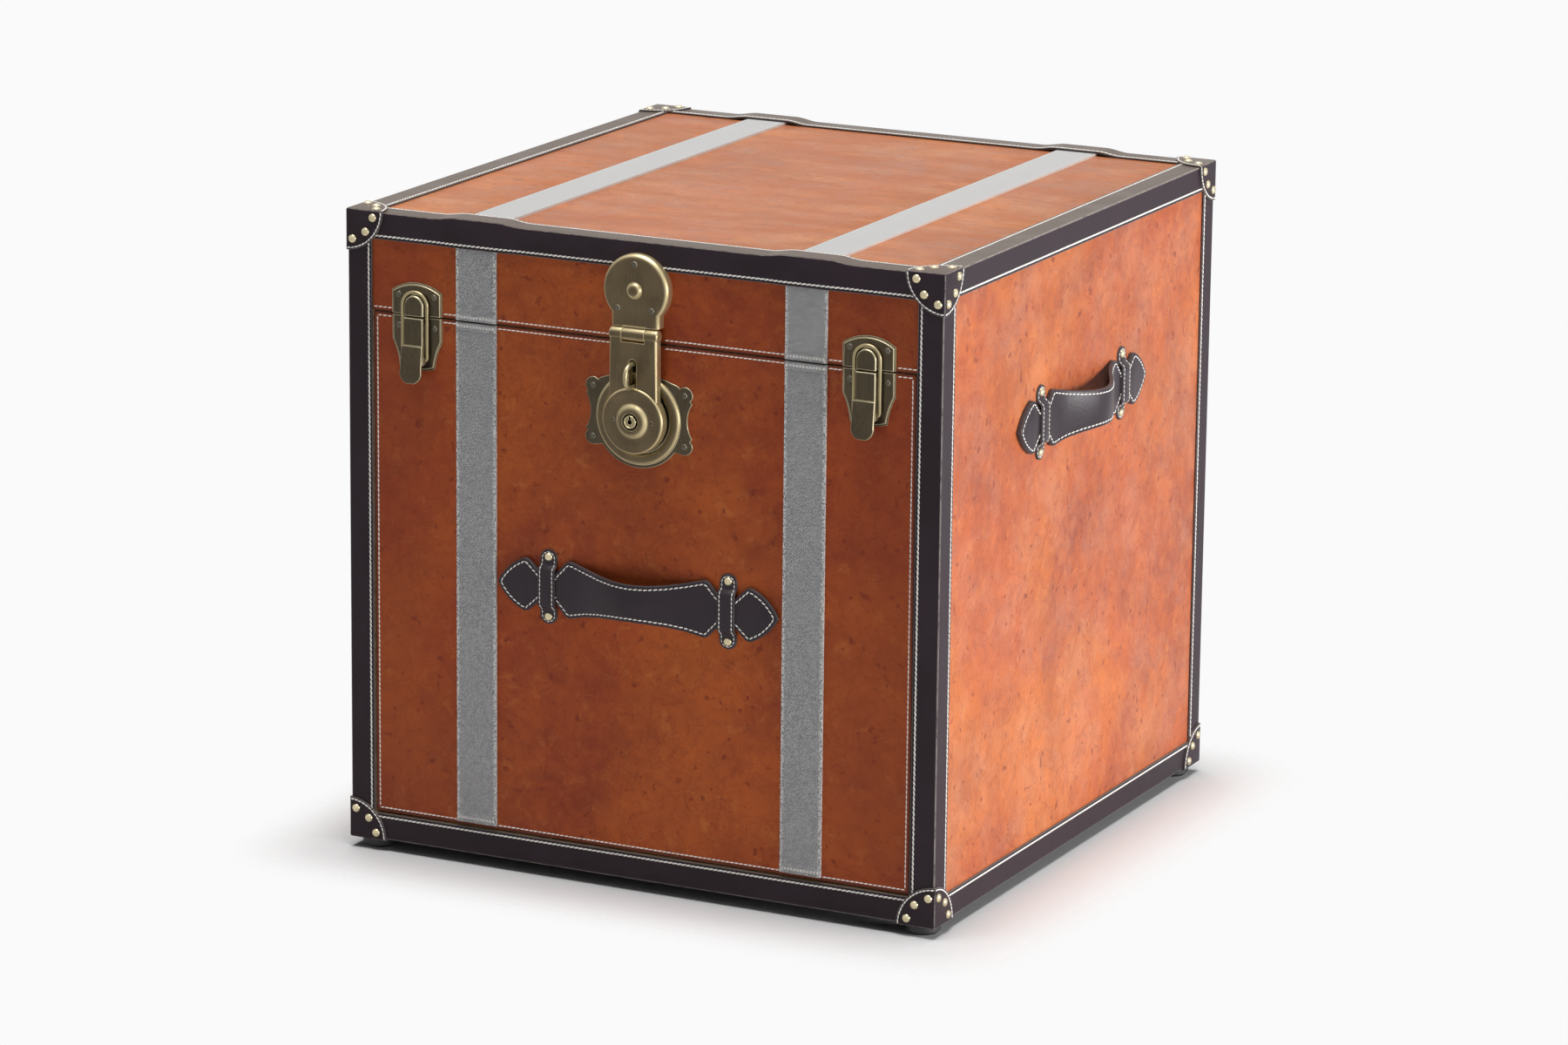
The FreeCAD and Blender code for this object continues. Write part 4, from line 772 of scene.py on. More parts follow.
def corner_nails():
    """Places of the nails: three in an arc on each lobe of the caps, bar those underneath."""
    reach = 27.0
    places = []
    for right in (1, -1):
        for turn in (14, 45, 76):
            along_edge = reach * math.cos(math.radians(turn))
            across = reach * math.sin(math.radians(turn))
            x = right * (CAP_X - along_edge)
            for y in (CAP_FRONT + across, CAP_BACK - across):
                places.append(shifted(x, -y, CAP_TOP) @ turned_about("X", -math.pi / 2))
            for level in (CAP_BOTTOM + across, CAP_TOP - across):
                places.append(shifted(x, -CAP_FRONT, level))
                places.append(shifted(x, -CAP_BACK, level) @ turned_about("Z", math.pi))
                for y in (CAP_FRONT + along_edge, CAP_BACK - along_edge):
                    places.append(shifted(right * CAP_X, -y, level) @ turned_about("Z", right * math.pi / 2))
    return places


def fastenings():
    # each stands on the front of its fitting, the last number of its place
    latch_screws = [side * LATCH_X + off for side in (1, -1) for off in (17, -17)]
    rail = [on_front(x, HEAD_Z + z, 10.0) for x, z in ((0.0, 22.0), (15.84, -15.84), (-15.84, -15.84))]
    rail += [on_front(x, SEAM + 17.5, 2.6) for x in latch_screws]
    door = [on_front(x, SEAM - 9.5, 1.8) for x in latch_screws]
    door += [on_front(side * 43, LOCK_Z + rise, 1.6) for side in (1, -1) for rise in (24, -19.5)]
    front = [
        on_front(side * LOOP_OFFSET, FRONT_HANDLE_Z + off, LOOP_THICK)
        for side in (1, -1) for off in (26, -26)
    ]
    sides = [
        on_side(side, y, SIDE_HANDLE_Z + off, LOOP_THICK)
        for side in (1, -1) for y in (LOOP_OFFSET, -LOOP_OFFSET) for off in (26, -26)
    ]
    for name, head, places, body, slot, node, finish in (
        ("screws_rail", screw_head, rail, "case", "old_brass", "rail_screws", SCREW_BRASS),
        ("screws_door", screw_head, door, "door", "old_brass", "door_screws", SCREW_BRASS),
        ("nails_corners", nail_head, corner_nails(), "case", "bright_brass", "corner_nails", NAIL_BRASS),
        ("rivets_front_handle", nail_head, front, "door", "bright_brass", "front_handle_rivets", NAIL_BRASS),
        ("rivets_side_handles", nail_head, sides, "case", "bright_brass", "side_handle_rivets", NAIL_BRASS),
    ):
        finished(set_of(name, head(), places), body, slot, node, finish=finish)


# ---------------------------------------------------------------- hasp lock


def barrel(radius, x0, x1, out, ball=0.4):
    """A knuckle along X, about z = 0, whose end away from the middle is rounded by ball."""
    left, right = (ball, 0.4) if x0 + x1 < 0 else (0.4, ball)
    profile = [(0, -x0)]
    for end, fold, way in ((-x0, left, 1), (-x1, right, -1)):
        for turn in (math.radians(angle) for angle in (0, 22.5, 45, 67.5, 90)[::way]):
            profile.append((radius - fold + fold * math.sin(turn), end - way * fold * (1 - math.cos(turn))))
    profile.append((0, -x1))
    return moved(turned("knuckle", profile, 40), shifted(out=out) @ turned_about("Z", math.pi / 2))


KNUCKLE_RADIUS = 5.7
KNUCKLE_OUT = 8


def lock_head():
    plate = slab(
        "head", outline((22.5, -20.59), (0, 30.5, -22.5, -20.59), (-22.5, -31), (22.5, -31), fine=56),
        0, 10, rim=4.8, rounds=7, rounded=lambda middle: middle.z > -30.9,
    )
    button = turned(
        "boss",
        [
            (0, 9.5), (6.9, 9.5), (6.6, 10.1), (6.4, 10.7), (5.9, 11.5), (5.0, 12.4), (3.7, 13.1),
            (2.0, 13.5), (0, 13.6),
        ],
        40,
    )
    pin = HASP_Z - HEAD_Z
    tongue = slab("tongue", [(-10.5, pin), (10.5, pin), (10.5, -30.5), (-10.5, -30.5)], 5.1, 10.9)
    knuckle = moved(barrel(KNUCKLE_RADIUS, -10.5, 10.5, KNUCKLE_OUT), shifted(z=pin))
    whole = moved(joined("lock_head_plate", plate, button, tongue, knuckle), on_front(0, HEAD_Z))
    finished(whole, "case", "old_brass", "lock_head", finish=OLD_BRASS)


def hasp():
    """The slotted strap with its domed disc, its two studs, and the key's plug in the disc."""
    half, disc_z, neck = 22.5, LOCK_Z - HASP_Z, 26.0
    foot = disc_z + math.sqrt(neck**2 - half**2)
    strap = slab(
        "strap",
        outline(
            (half, foot), (half, 0), (10.8, 0), (10.8, -6), (-10.8, -6), (-10.8, 0), (-half, 0),
            (-half, foot), (0, disc_z + neck, half, foot), fine=24,
        ),
        5.2, 13.0, rim=3.3, rounds=6, rounded=lambda middle: abs(middle.x) > 22.4,
    )
    cut_out(strap, slab(
        "slot",
        outline(
            (3.75, -43.75), (3.75, -24.25), (0, -20.5, -3.75, -24.25), (-3.75, -43.75),
            (0, -47.5, 3.75, -43.75),
        ),
        3, 16,
    ))
    disc = turned(
        "disc",
        [
            (7.05, 5.2), (28.5, 5.2), *quarter_arc(25.5, 11.2, 3, 3), (24.2, 14.0), (22.4, 13.5),
            (20.0, 13.1), (17.4, 12.9), (15.2, 13.1), (14.2, 13.8), (13.3, 14.9), (12.1, 16.0),
            (10.6, 16.8), (9.0, 17.2), (8.0, 17.3), (7.3, 17.1), (7.05, 16.5),
        ],
        72,
    )
    moved(disc, shifted(z=disc_z))
    knuckles = [barrel(KNUCKLE_RADIUS, *ends, KNUCKLE_OUT, 2.2) for ends in ((10.8, 22.8), (-22.8, -10.8))]
    whole = moved(joined("hasp_plate", strap, disc, *knuckles), on_front(0, HASP_Z))
    finished(whole, "hasp", "old_brass", "hasp", finish=OLD_BRASS)

    stud = turned("stud", [(0, -0.3), (1.9, -0.3), (1.9, 0.1), (1.5, 0.5), (0.8, 0.7), (0, 0.72)], 20)
    studs = set_of("hasp_studs", stud, [on_front(x, LOCK_Z, 12.6) for x in (18, -18)])
    finished(studs, "hasp", "old_brass", "hasp_rivets", finish=SCREW_BRASS)

    plug = turned(
        "plug",
        [
            (0, 5.2), (7.0, 5.2), (7.0, 13.6), (5.7, 13.8), (5.6, 17.3), (5.3, 17.7), (4.7, 17.8),
            (4.4, 17.4), (0, 17.3),
        ],
        40,
    )
    keyway = slab("keyway", [(-0.95, 0), (0.95, 0), (0.75, 5.2), (-0.75, 5.2)], 13.4, 20)
    eye = turned("eye", [(0, 13.4), (2.0, 13.4), (2.0, 20), (0, 20)], 20)
    cut_out(plug, keyway, eye)
    # everything below the face is in the shade
    two_tone(plug, RUBBED_BRASS, RECESS_BRASS, lambda face: face.center.y > -17.1 * MM)
    finished(moved(plug, on_front(0, LOCK_Z)), "key_plug", "bright_brass", "key_plug")


def lock_plate():
    """The shaped plate, the raised ring round the disc, and the tongue under the hasp's slot."""
    right = outline(
        (34, -25.5), (40.4, -26.5), (48.25, -24.75, 50, -16.9), (48.1, -15), (50, -12.75),
        (45.5, 2.25, 50, 17.25), (48.1, 19.5), (50, 21.4), (48.25, 29.25, 40.4, 31), (38.4, 29.6),
        (36.4, 31.5), (24, 35.5),
    )
    left = [(-x, z) for x, z in reversed(right)]
    foot = bow(left[-1], (0, -42.5), right[0], 30)[:-1]
    plate = slab("plate", right + left + foot, 0, 1.6, rim=0.8, rounds=3)
    bead = turned("bead", [(39.4, 0.8), *quarter_arc(34.5, 1.2, 4.9, 3.6, 180), (29.6, 0.8)], 84)
    tongue = slab("tongue", [(-15, 30), (15, 30), (15, 56.1), (-15, 56.1)], 0, 1.6, rim=0.4, rounds=2)
    for part, part_finish in ((plate, DARK_BRASS), (bead, OLD_BRASS), (tongue, DARK_BRASS)):
        part.data.materials.append(part_finish)
    whole = moved(joined("lock_plate_dressed", plate, bead, tongue), on_front(0, LOCK_Z))
    finished(whole, "door", "old_brass", "lock_plate")


def staple():
    half, reach, foot = 9.9, 16, 1.2
    arch = [(0, out, rise) for out, rise in bow((reach, -half), (reach + half, 0), (reach, half), 16)]
    path = [(0, foot, -half), (0, reach, -half), *arch, (0, foot, half)]
    ring = moved(wire("staple_ring", path, 2.1, 4), on_front(0, STAPLE_Z))
    finished(ring, "door", "old_brass", "staple", finish=RUBBED_BRASS, smooth=60)


# ---------------------------------------------------------------- draw latches


def latch_strike():
    """The plate above the seam, with its raised field and the keeper."""
    def arched(half, side, peak, fine=20):
        return outline((-half, 0.9), (half, 0.9), (half, side), (0, peak, -half, side), fine=fine)

    plate = slab("plate", arched(24, 20.8, 28.4), 0, 1.2)
    raised = [
        slab(name, corners, back, front, rim=rim, rounds=rounds, rounded=lambda middle: middle.z > 1)
        for name, corners, back, front, rim, rounds in (
            ("field", arched(22.6, 19.8, 26.8), 0.5, 2.6, 1.1, 3),
            ("pad", arched(9.2, 9.2, 18.4, 24), 2, 8, 2.2, 5),
        )
    ]
    return joined("strike", plate, *raised)


def latch_base():
    """The tapered plate below the seam, with its raised field and the lever's ears."""
    def shape(inset):
        half, waist, foot = 24 - inset, 19.1 - inset, 17 - inset
        return outline(
            (-half, -0.9), (-half, -21.5 + inset * 0.4), (-waist, -33.25, -foot, -45 + inset),
            (0, -47.5 + inset, foot, -45 + inset), (waist, -33.25, half, -21.5 + inset * 0.4),
            (half, -0.9), fine=12,
        )

    plate = slab("plate", shape(0), 0, 0.9)
    field = slab("field", shape(1.4), 0.5, 1.8, rim=0.8, rounds=3, rounded=lambda middle: middle.z < -1)
    ears = [
        slab("ear", [(x, -5.7), (x + 1.6, -5.7), (x + 1.6, -1.1), (x, -1.1)], 1.3, 7.3, rim=0.6, rounds=2)
        for x in (3.9, -5.5)
    ]
    return joined("base", plate, field, *ears)


def latch_lever():
    """A cheeked channel, open behind and below, with a thumb piece that curls outwards."""
    channel = slab(
        "channel", [(-9.2, -41), (9.2, -41), (9.2, -0.8), (-9.2, -0.8)], 2.4, 9, rim=1.5, rounds=4,
        rounded=lambda middle: middle.z > -40.9,
    )
    open_mesh(channel)
    pick(channel, "faces", lambda face, middle: middle.y > -2.5 or middle.z < -40.9)
    bpy.ops.mesh.delete(type="FACE")
    close_mesh()
    modified(channel, "SOLIDIFY", thickness=1.3 * MM, offset=-1.0)
    top = -24.5
    thumb = slab(
        "thumb",
        outline(
            (10.1, top), (-10.1, top), (-10.1, -45), (-8.2, -53.4, -3.6, -56.5), (3.6, -56.5),
            (8.2, -53.4, 10.1, -45), fine=8,
        ),
        0, 2.2, rim=0.9, rounds=3,
    )
    slices(thumb, 2, range(-54, -25, 3))

    def reach(_, z):
        down = (top - z) / 16.0
        return 9.0 + 2.2 * down - 0.2 * down * down

    bend(thumb, reach)
    return joined("lever", channel, thumb)


def latch_bail():
    out = 5.2
    half = [(-6.8, -37.0), (-9.8, -37.0), (-11.2, -36.4), (-11.9, -34.9), (-11.9, 9.2)]
    arch = bow((-11.9, 9.2), (0, 21.1), (11.9, 9.2), 20)
    other = [(-x, z) for x, z in reversed(half[:-1])]
    return wire("bail", [(x, out, z) for x, z in half + arch + other], 1.5)


def latches():
    for name, make, body, node in (
        ("latch_strike_plates", latch_strike, "case", "latch_strikes"),
        ("latch_base_plates", latch_base, "door", "latch_bases"),
    ):
        pair = set_of(name, make(), [on_front(LATCH_X, SEAM), on_front(-LATCH_X, SEAM)])
        finished(pair, body, "old_brass", node, finish=DARK_BRASS)
    for side, sign in (("left", -1), ("right", 1)):
        for part, ending, make, finish, smooth in (
            ("lever", "piece", latch_lever, DARK_BRASS, 35.0),
            ("bail", "wire", latch_bail, RUBBED_BRASS, 60.0),
        ):
            node = f"{side}_{part}"
            piece = named(moved(make(), on_front(sign * LATCH_X, SEAM)), f"{node}_{ending}")
            finished(piece, node, "old_brass", node, finish=finish, smooth=smooth)


# ---------------------------------------------------------------- stitching


def stitch_shape():
    """One stitch lying along X on the plane y = 0: a bead of thread with drawn-in ends."""
    deselect()
    bpy.ops.mesh.primitive_uv_sphere_add(segments=6, ring_count=4, radius=1.0, rotation=(0, math.pi / 2, 0))
    bead = named(bpy.context.object, "stitch")
    bpy.ops.object.transform_apply(rotation=True)
    open_mesh(bead)
    bpy.ops.transform.resize(value=(0.5, 0.5, 0.5), center_override=(0, 0, 0))
    close_mesh()
    corners = [corner.co.copy() for corner in bead.data.vertices]
    faces = [tuple(face.vertices) for face in bead.data.polygons]
    bpy.data.objects.remove(bead)
    return corners, faces


STITCH_CORNERS, STITCH_FACES = stitch_shape()


def along(points, pitch):
    """Evenly spaced (place, direction) pairs along a path of points."""
    runs = [(b - a).length for a, b in zip(points, points[1:])]
    total = sum(runs)
    count = max(2, round(total / pitch))
    places = []
    for index in range(count):
        target = total * (index + 0.5) / count
        for a, b, run in zip(points, points[1:], runs):
            if target <= run:
                places.append((a.lerp(b, target / run), (b - a).normalized()))
                break
            target -= run
    return places


class Stitches:
    """Collects the stitches of one piece. Pitch, length, width, rise and slant are its defaults."""

    def __init__(self, pitch=4.3, length=5.1, width=1.65, rise=1.35, slant=13.0):
        self.corners = []
        self.faces = []
        self.pitch, self.length, self.width, self.rise, self.slant = pitch, length, width, rise, slant

    def row(self, points, outward, slant=None):
        """Stitches along a path of points (x, y, z), in millimetres, on a surface facing outward."""
        up = Vector(outward).normalized()
        turn = Matrix.Rotation(math.radians(self.slant if slant is None else slant), 3, up)
        for place, way in along([Vector(point) for point in points], self.pitch):
            way = turn @ way
            side = up.cross(way).normalized()
            top = way.cross(side)
            first = len(self.corners)
            size = self.length * CHANCE.uniform(0.94, 1.04)
            for corner in STITCH_CORNERS:
                where = place + way * corner.x * size + side * corner.z * self.width
                self.corners.append((where - top * corner.y * self.rise) * MM)
            self.faces.extend(tuple(first + index for index in face) for face in STITCH_FACES)

    def piece(self, name, body, matrix=None):
        mesh = bpy.data.meshes.new(name)
        mesh.from_pydata(self.corners, [], self.faces)
        thing = bpy.data.objects.new(name, mesh)
        bpy.context.collection.objects.link(thing)
        if matrix is not None:
            mesh.transform(matrix)
        finished(thing, body, None, finish=THREAD, smooth=70)


# ---------------------------------------------------------------- bindings over the webbing

HUMP = 2.5
HUMP_FLAT = 19.5
HUMP_END = 42.0
# the share of the hump by which the bindings also swell on the front and the back
FRONT_SHARE = 0.5


def eased(height, end, flat, off):
    """A smooth fall from height at flat to nothing at end."""
    share = min(1.0, max(0.0, (end - off) / (end - flat)))
    return height * share * share * (3 - 2 * share)


def strap_rise(x):
    """How far the top bindings rise where the webbing passes beneath, in millimetres."""
    return eased(HUMP, HUMP_END, HUMP_FLAT, abs(abs(x) - WEB_X))


def binding_stitches():
    """A row near each inner edge of the twelve bindings."""
    rows = Stitches()
    inset, end = 20.0, 25.5
    near_x, end_x = OUT_X - inset, OUT_X - end
    edges = (OUT_FRONT + inset, OUT_BACK - inset)
    front_end, back_end = OUT_FRONT + end, OUT_BACK - end
    low, high = OUT_BOTTOM + inset, OUT_TOP - inset
    low_end, high_end = OUT_BOTTOM + end, OUT_TOP - end
    stations = [-end_x + 2 * end_x * step / 120 for step in range(121)]
    for edge, face, sign in zip(edges, (OUT_FRONT, OUT_BACK), (-1, 1)):
        rows.row([(x, edge, OUT_TOP + strap_rise(x)) for x in stations], (0, 0, 1))
        rows.row([(x, face + sign * FRONT_SHARE * strap_rise(x), high) for x in stations], (0, sign, 0))
        rows.row([(-end_x, face, low), (end_x, face, low)], (0, sign, 0))
        for side in (1, -1):
            rows.row([(side * near_x, face, low_end), (side * near_x, face, high_end)], (0, sign, 0))
    for side in (1, -1):
        rows.row([(side * near_x, front_end, OUT_TOP), (side * near_x, back_end, OUT_TOP)], (0, 0, 1))
        for level in (low, high):
            rows.row([(side * OUT_X, front_end, level), (side * OUT_X, back_end, level)], (side, 0, 0))
        for edge in edges:
            rows.row([(side * OUT_X, edge, low_end), (side * OUT_X, edge, high_end)], (side, 0, 0))
    rows.piece("stitching_bindings", "case")


def humped_binding(name, node, place):
    """A leather strip folded over the case's edge, lifted smoothly where webbing passes beneath."""
    leg, thick = 21.4, BINDING_THICK
    radius = 1.4
    fold = [
        (radius * (1 - math.cos(turn)) - thick, 0.2 + radius * math.sin(turn))
        for turn in (0.4, 0.8, 1.2, math.pi / 2)
    ]
    section = [(0.0, -leg), (-thick, -leg), (-thick, 0.2), *fold, (leg, thick), (leg, 0.0), (0.0, 0.0)]
    strip = flat_face(name, [(-OUT_X, -y, z) for y, z in section])
    open_mesh(strip)
    bpy.ops.mesh.extrude_region_move(TRANSFORM_OT_translate={"value": (2 * OUT_X * MM, 0, 0)})
    close_mesh()
    offsets = (HUMP_FLAT, 21.5, 23.5, 25.5, 27.5, 29.5, 31.5, 34, 36.5, 39, HUMP_END)
    slices(strip, 0, [web + way * off for web in (-WEB_X, WEB_X) for way in (-1, 1) for off in offsets])
    for corner in strip.data.vertices:
        rise = strap_rise(corner.co.x / MM) * MM
        on_top = corner.co.z > -0.001 * MM and corner.co.y > -0.3 * MM
        if not on_top:
            corner.co.y -= rise * FRONT_SHARE
        if corner.co.z >= -0.5 * MM:
            corner.co.z += rise
    finished(moved(strip, place), "case", "dark_leather", node, finish=EDGING)


# ---------------------------------------------------------------- rail, door and webbing ends

RAIL_ROW = SEAM + 3.9
DOOR_ROW_X = 251.2
DOOR_ROW_TOP = SEAM - 3.3
DOOR_ROW_FOOT = 38.8
WEB_GAP = (134.8, 174.6)


def front_stitches():
    """The row above the seam on the rail, and the row round the door."""
    fine = dict(length=4.3, width=1.3, rise=1.0, slant=5)

    def line(rows, x0, z0, x1, z1):
        rows.row([(x0, LEATHER_Y, z0), (x1, LEATHER_Y, z1)], (0, -1, 0))

    # between the bindings, the latches, the webbing and the lock
    right = [(23.4, WEB_GAP[0]), (WEB_GAP[1], 187), (237, 255)]
    spans = [(-x1, -x0) for x0, x1 in reversed(right)] + right
    rail = Stitches(**fine)
    for x0, x1 in spans:
        line(rail, x0, RAIL_ROW, x1, RAIL_ROW)
    rail.piece("stitching_rail", "case")

    door = Stitches(**fine)
    for x0, x1 in spans:
        line(door, max(x0, -DOOR_ROW_X), DOOR_ROW_TOP, min(x1, DOOR_ROW_X), DOOR_ROW_TOP)
    for x0, x1 in ((-DOOR_ROW_X, -WEB_GAP[1]), (-WEB_GAP[0], WEB_GAP[0]), (WEB_GAP[1], DOOR_ROW_X)):
        line(door, x0, DOOR_ROW_FOOT, x1, DOOR_ROW_FOOT)
    for x in (DOOR_ROW_X, -DOOR_ROW_X):
        line(door, x, DOOR_ROW_FOOT + 1.2, x, DOOR_ROW_TOP - 1.2)
    door.piece("stitching_door", "door")


def webbing_ends():
    """The front straps' ends, turned under and sewn down with a zigzag."""
    half, thick = 19.2, 2.9
    for side, body, levels in (
        ("rail", "case", [(SEAM + 0.8, SEAM + 7.0)]),
        ("door", "door", [(SEAM - 7.0, SEAM - 0.8), (38.3, 46.0)]),
    ):
        bands = []
        zigzag = Stitches(3.0, 3.4, 0.8, 0.6)
        for low, high in levels:
            for x in (WEB_X, -WEB_X):
                corners = [(x - half, low), (x + half, low), (x + half, high), (x - half, high)]
                bands.append(moved(slab("band", corners, 0.2, thick, rim=0.7, rounds=3), on_front()))
                ends = [(x + off, LEATHER_Y - thick, (low + high) / 2) for off in (-18, 18)]
                for slant in (48, -48):
                    zigzag.row(ends, (0, -1, 0), slant)
        finished(joined(f"strap_ends_{side}", *bands), body, "webbing", finish=WEBBING)
        zigzag.piece(f"stitching_strap_ends_{side}", body)


# ---------------------------------------------------------------- corner caps

CAP_REACH = 36.0
# the caps' corners: the outer point and, along each axis, the way into the case
CASE_CORNERS = [
    (Vector((right * CAP_X, y, z)), (-right, inward, upward))
    for right in (1, -1)
    for y, inward in ((CAP_FRONT, 1), (CAP_BACK, -1))
    for z, upward in ((CAP_BOTTOM, 1), (CAP_TOP, -1))
]


def corner_caps():
    """Eight leather caps: a shell round each corner, cut to a quarter circle on every face."""
    cap = slab("cap", [(0, 0), (40, 0), (40, 40), (0, 40)], 0, 40)
    open_mesh(cap, "EDGE")
    pick(cap, "edges", lambda edge, middle: sum(abs(value) < 0.01 for value in middle) == 2)
    round_edges(1.7, 4)
    close_mesh()
    inner, far = CAP_THICK, 60
    cut_out(cap, slab("hollow", [(inner, inner), (far, inner), (far, far), (inner, far)], inner, far))
    deselect()
    bpy.ops.mesh.primitive_uv_sphere_add(segments=96, ring_count=48, radius=CAP_REACH * MM)
    cut_out(cap, bpy.context.object, keep_inside=True)
    # the cap is shaped with its hollow towards +X, -Y and +Z
    places = [
        Matrix.Translation(point * MM) @ Matrix.Diagonal((inward[0], -inward[1], inward[2], 1))
        for point, inward in CASE_CORNERS
    ]
    caps = set_of("leather_corner_caps", cap, places)
    finished(caps, "case", "dark_leather", "corner_caps", finish=EDGING, smooth=24)


def cap_stitches():
    """A row along the edge of each lobe of the corner caps, with none underneath."""
    rows = Stitches(3.6, 3.9, 1.5, 1.05, 6)
    start, middle, end = (34.2, 1.2), (24.2, 24.2), (1.2, 34.2)
    lobe = [start, *bow(start, middle, end, 16)]
    for point, inward in CASE_CORNERS:
        ways = [Vector(way) for way in ((inward[0], 0, 0), (0, inward[1], 0), (0, 0, inward[2]))]
        # the top's lobe runs along X and Y, the front's or the back's along X and Z, the side's along Y and Z
        for first, second, outward in ((0, 1, 2), (0, 2, 1), (1, 2, 0)):
            if outward != 2 or inward[2] < 0:
                rows.row([point + ways[first] * p + ways[second] * q for p, q in lobe], -ways[outward])
    rows.piece("stitching_caps", "case")


# ---------------------------------------------------------------- leather handles


def handle_outline():
    """The outline of a strap handle: spade ends, necks under the loops, a body that narrows."""
    top = outline(
        (132.5, 0), (120.5, 15.18, 108.5, 22.5), (105.5, 22.8, 102.5, 21.5), (91, 11), (79, 11), (69.5, 21.0),
        (66.3, 23.8, 62.3, 24.4), (0, 15.8, -62.3, 24.4), (-66.3, 23.8, -69.5, 21.0), (-79, 11), (-91, 11),
        (-102.5, 21.5), (-105.5, 22.8, -108.5, 22.5), (-120.5, 15.18, -132.5, 0), fine=8,
    )
    return top + [(x, -z) for x, z in reversed(top[1:-1])]


def inset_path(corners, inset):
    """A closed outline moved inwards, for the stitching."""
    result = []
    for index, corner in enumerate(corners):
        here = Vector(corner)
        first = (here - Vector(corners[index - 1])).normalized()
        second = (Vector(corners[(index + 1) % len(corners)]) - here).normalized()
        way = (first + second).normalized()
        across = Vector((-way.y, way.x))
        stretch = min(1.6, 1 / max(0.5, across.dot(Vector((-first.y, first.x)))))
        result.append(tuple(here + across * inset * stretch))
    return result


def divided(corners, longest):
    """A closed outline with extra points on its long sides, its first point repeated at the end."""
    points = []
    for (ax, az), (bx, bz) in zip(corners, corners[1:] + corners[:1]):
        steps = max(1, int(math.dist((ax, az), (bx, bz)) / longest))
        points += [(ax + (bx - ax) * step / steps, az + (bz - az) * step / steps) for step in range(steps)]
    return points + points[:1]


BOW_END = 68


def handle_rise(bow_height):
    """How far a handle stands out at x: next to nothing at the necks, the whole bow at the middle."""
    def rule(x, _):
        share = 0.5 + 0.5 * math.cos(math.pi * min(1, abs(x) / BOW_END))
        return 0.5 + bow_height * share
    return rule


def strap_handle(name, bow_height):
    strap = slab(name, handle_outline(), 0, HANDLE_THICK, rim=0.9, rounds=3, back_rim=0.6)
    open_mesh(strap)
    faces = bmesh.from_edit_mesh(strap.data).faces
    front = max(face.calc_area() for face in faces if face.normal.y < -0.99)
    pick(strap, "faces", lambda face, middle: face.normal.y < -0.99 and face.calc_area() > 0.9 * front)
    bpy.ops.mesh.inset(thickness=3.6 * MM, depth=0.0)
    bpy.ops.mesh.inset(thickness=1.2 * MM, depth=0.25 * MM)
    close_mesh()
    slices(strap, 0, range(-BOW_END, BOW_END + 1, 4))
    bend(strap, handle_rise(bow_height))
    two_tone(strap, STRAPPING, CUT_EDGE, lambda face: abs(face.normal.y) < 0.45)
    return strap


def loop_rise(_, z):
    """How far a loop stands out at z: flat at its feet and over the handle at its middle."""
    return eased(5.0, 21.0, 15.0, abs(z))


def loop_outline(half, end, fine):
    z = 24.5
    return outline((half, -z), (half, z), (0, end, -half, z), (-half, -z), (0, -end, half, -z), fine=fine)


def leather_loop():
    strip = slab("loop", loop_outline(8, 32.5, 14), 0, LOOP_THICK, rim=0.5, rounds=2)
    slices(strip, 2, [*range(-21, -14), -10, -5, 0, 5, 10, *range(15, 22)])
    bend(strip, loop_rise)
    two_tone(strip, STRAPPING, CUT_EDGE, lambda face: abs(face.normal.x) > 0.8 or abs(face.normal.z) > 0.95)
    return strip


def handles():
    for node, bow_height, matrix in (
        ("front_handle", 15.0, on_front(0, FRONT_HANDLE_Z)),
        ("right_handle", 22.0, on_side(1, 0, SIDE_HANDLE_Z)),
        ("left_handle", 22.0, on_side(-1, 0, SIDE_HANDLE_Z)),
    ):
        strap = moved(strap_handle(f"{node}_strap", bow_height), matrix)
        finished(strap, node, "handle_leather", node, smooth=40)
        rise = handle_rise(bow_height)
        rows = Stitches(4.4, 4.0, 1.25, 0.9, 8)
        path = divided(inset_path(handle_outline(), 3.0), 3)
        rows.row([(x, -(rise(x, z) + HANDLE_THICK), z) for x, z in path], (0, -1, 0))
        rows.piece(f"stitching_{node}", node, matrix)

    front = [on_front(side * LOOP_OFFSET, FRONT_HANDLE_Z) for side in (1, -1)]
    sides = [on_side(side, y, SIDE_HANDLE_Z) for side in (1, -1) for y in (LOOP_OFFSET, -LOOP_OFFSET)]
    for name, spots, body, node in (
        ("loops_front", front, "door", "front_handle_loops"),
        ("loops_sides", sides, "case", "side_handle_loops"),
    ):
        finished(set_of(name, leather_loop(), spots), body, "handle_leather", node, smooth=50)
        rows = Stitches(3.7, 3.3, 1.05, 0.8, 6)
        line = divided(loop_outline(5.8, 30.3, 10), 1.5)
        path = [Vector((x, -(loop_rise(x, z) + LOOP_THICK), z)) for x, z in line]
        for spot in spots:
            rows.row([spot @ (point * MM) / MM for point in path], spot.to_3x3() @ Vector((0, -1, 0)))
        rows.piece(f"stitching_{name}", body)


# ---------------------------------------------------------------- stage, lights and camera


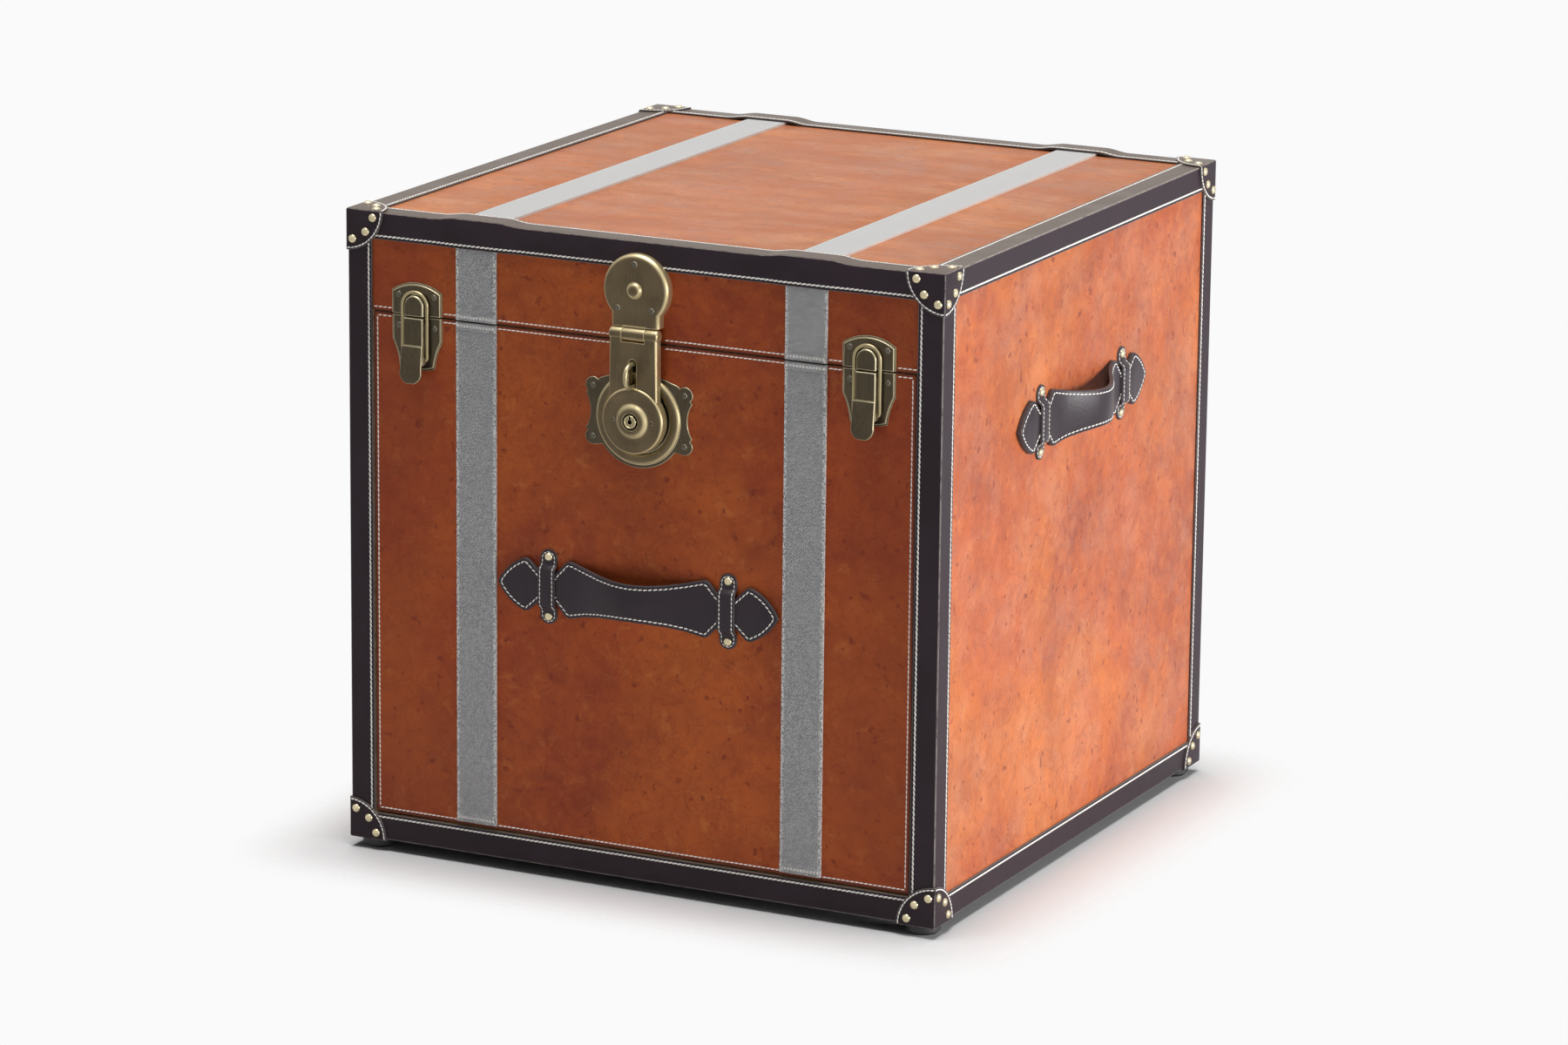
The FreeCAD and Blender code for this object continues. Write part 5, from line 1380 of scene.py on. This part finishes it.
def studio_floor():
    """A pale floor that keeps the trunk's shadow and fades into the white studio around it."""
    deselect()
    bpy.ops.mesh.primitive_plane_add(size=24.0, location=(0, 0, 0))
    floor = bpy.context.object
    floor.name = "studio_floor"
    material, w, shader = new_material("studio floor", Roughness=0.9, Specular_IOR_Level=0.1)
    tone = w.noise(w.place(), 3.0, 2.0)
    w.feed(shader.inputs["Base Color"], w.mix(tone, (0.80, 0.80, 0.80), (0.82, 0.82, 0.82)))
    spread = w.parts(w.place())
    footprint = 0.28
    past = [
        w.math("MAXIMUM", w.math("SUBTRACT", w.math("ABSOLUTE", spread[axis]), footprint), 0.0)
        for axis in "XY"
    ]
    squares = [w.math("POWER", part, 2.0) for part in past]
    faded = w.steps(w.math("SQRT", w.math("ADD", *squares)), 0.01, 0.11)
    # from below it is clear, so that it doesn't hide the underside
    unseen = w.math("MAXIMUM", faded, w.add("ShaderNodeNewGeometry").outputs["Backfacing"])
    seen = w.add("ShaderNodeLightPath").outputs["Is Camera Ray"]
    clear = w.add("ShaderNodeBsdfTransparent").outputs[0]
    surface = w.add("ShaderNodeMixShader", {0: w.times(unseen, seen), 1: shader.outputs[0], 2: clear})
    w.feed(material.node_tree.nodes["Material Output"].inputs["Surface"], surface.outputs[0])
    floor.data.materials.append(material)


def studio_light():
    """A world that looks white but lights little, and two softboxes."""
    world = bpy.data.worlds.new("studio")
    bpy.context.scene.world = world
    world.use_nodes = True
    w = Wiring(world.node_tree)
    world.node_tree.nodes.clear()
    rays = w.add("ShaderNodeLightPath").outputs
    seen = w.math("MAXIMUM", rays["Is Camera Ray"], rays["Is Glossy Ray"])
    seen = w.math("MAXIMUM", seen, rays["Is Transmission Ray"])
    plain, white = (
        w.add("ShaderNodeBackground", {"Color": (1, 1, 1), "Strength": level}).outputs[0]
        for level in (0.05, 0.955)
    )
    both = w.add("ShaderNodeMixShader", {0: seen, 1: plain, 2: white}).outputs[0]
    w.add("ShaderNodeOutputWorld", {"Surface": both}, is_active_output=True)

    for name, place, size, power in (
        ("side_softbox", (3.9, 0.2, 0.55), (2.4, 0.9), 145.0),
        ("top_softbox", (0.0, -0.2, 8.0), (4.5, 4.5), 690.0),
    ):
        lamp = bpy.data.lights.new(name, "AREA")
        lamp.shape = "RECTANGLE"
        lamp.size, lamp.size_y = size
        lamp.energy = power
        holder = bpy.data.objects.new(name, lamp)
        bpy.context.collection.objects.link(holder)
        holder.location = place
        holder.rotation_euler = (Vector((0, 0, 0.3)) - Vector(place)).to_track_quat("-Z", "Y").to_euler()


def camera():
    lens = bpy.data.cameras.new("camera")
    lens.lens = 141.425
    lens.sensor_width = 36.0
    holder = bpy.data.objects.new("camera", lens)
    bpy.context.collection.objects.link(holder)
    holder.location = (2.32630, -4.69201, 1.58277)
    holder.rotation_euler = Euler([math.radians(turn) for turn in (75.86079, -0.59728, 26.50214)])
    bpy.context.scene.camera = holder


fastenings()
lock_head()
hasp()
lock_plate()
staple()
latches()
humped_binding("binding_over_straps_front", "binding_top_front", shifted(0, -LEATHER_Y, TOP_Z))
humped_binding(
    "binding_over_straps_rear", "binding_top_rear", shifted(0, -BACK_Y, TOP_Z) @ turned_about("Z", math.pi)
)
binding_stitches()
front_stitches()
webbing_ends()
corner_caps()
cap_stitches()
handles()
studio_floor()
studio_light()
camera()
bpy.context.scene.view_settings.view_transform = "Standard"
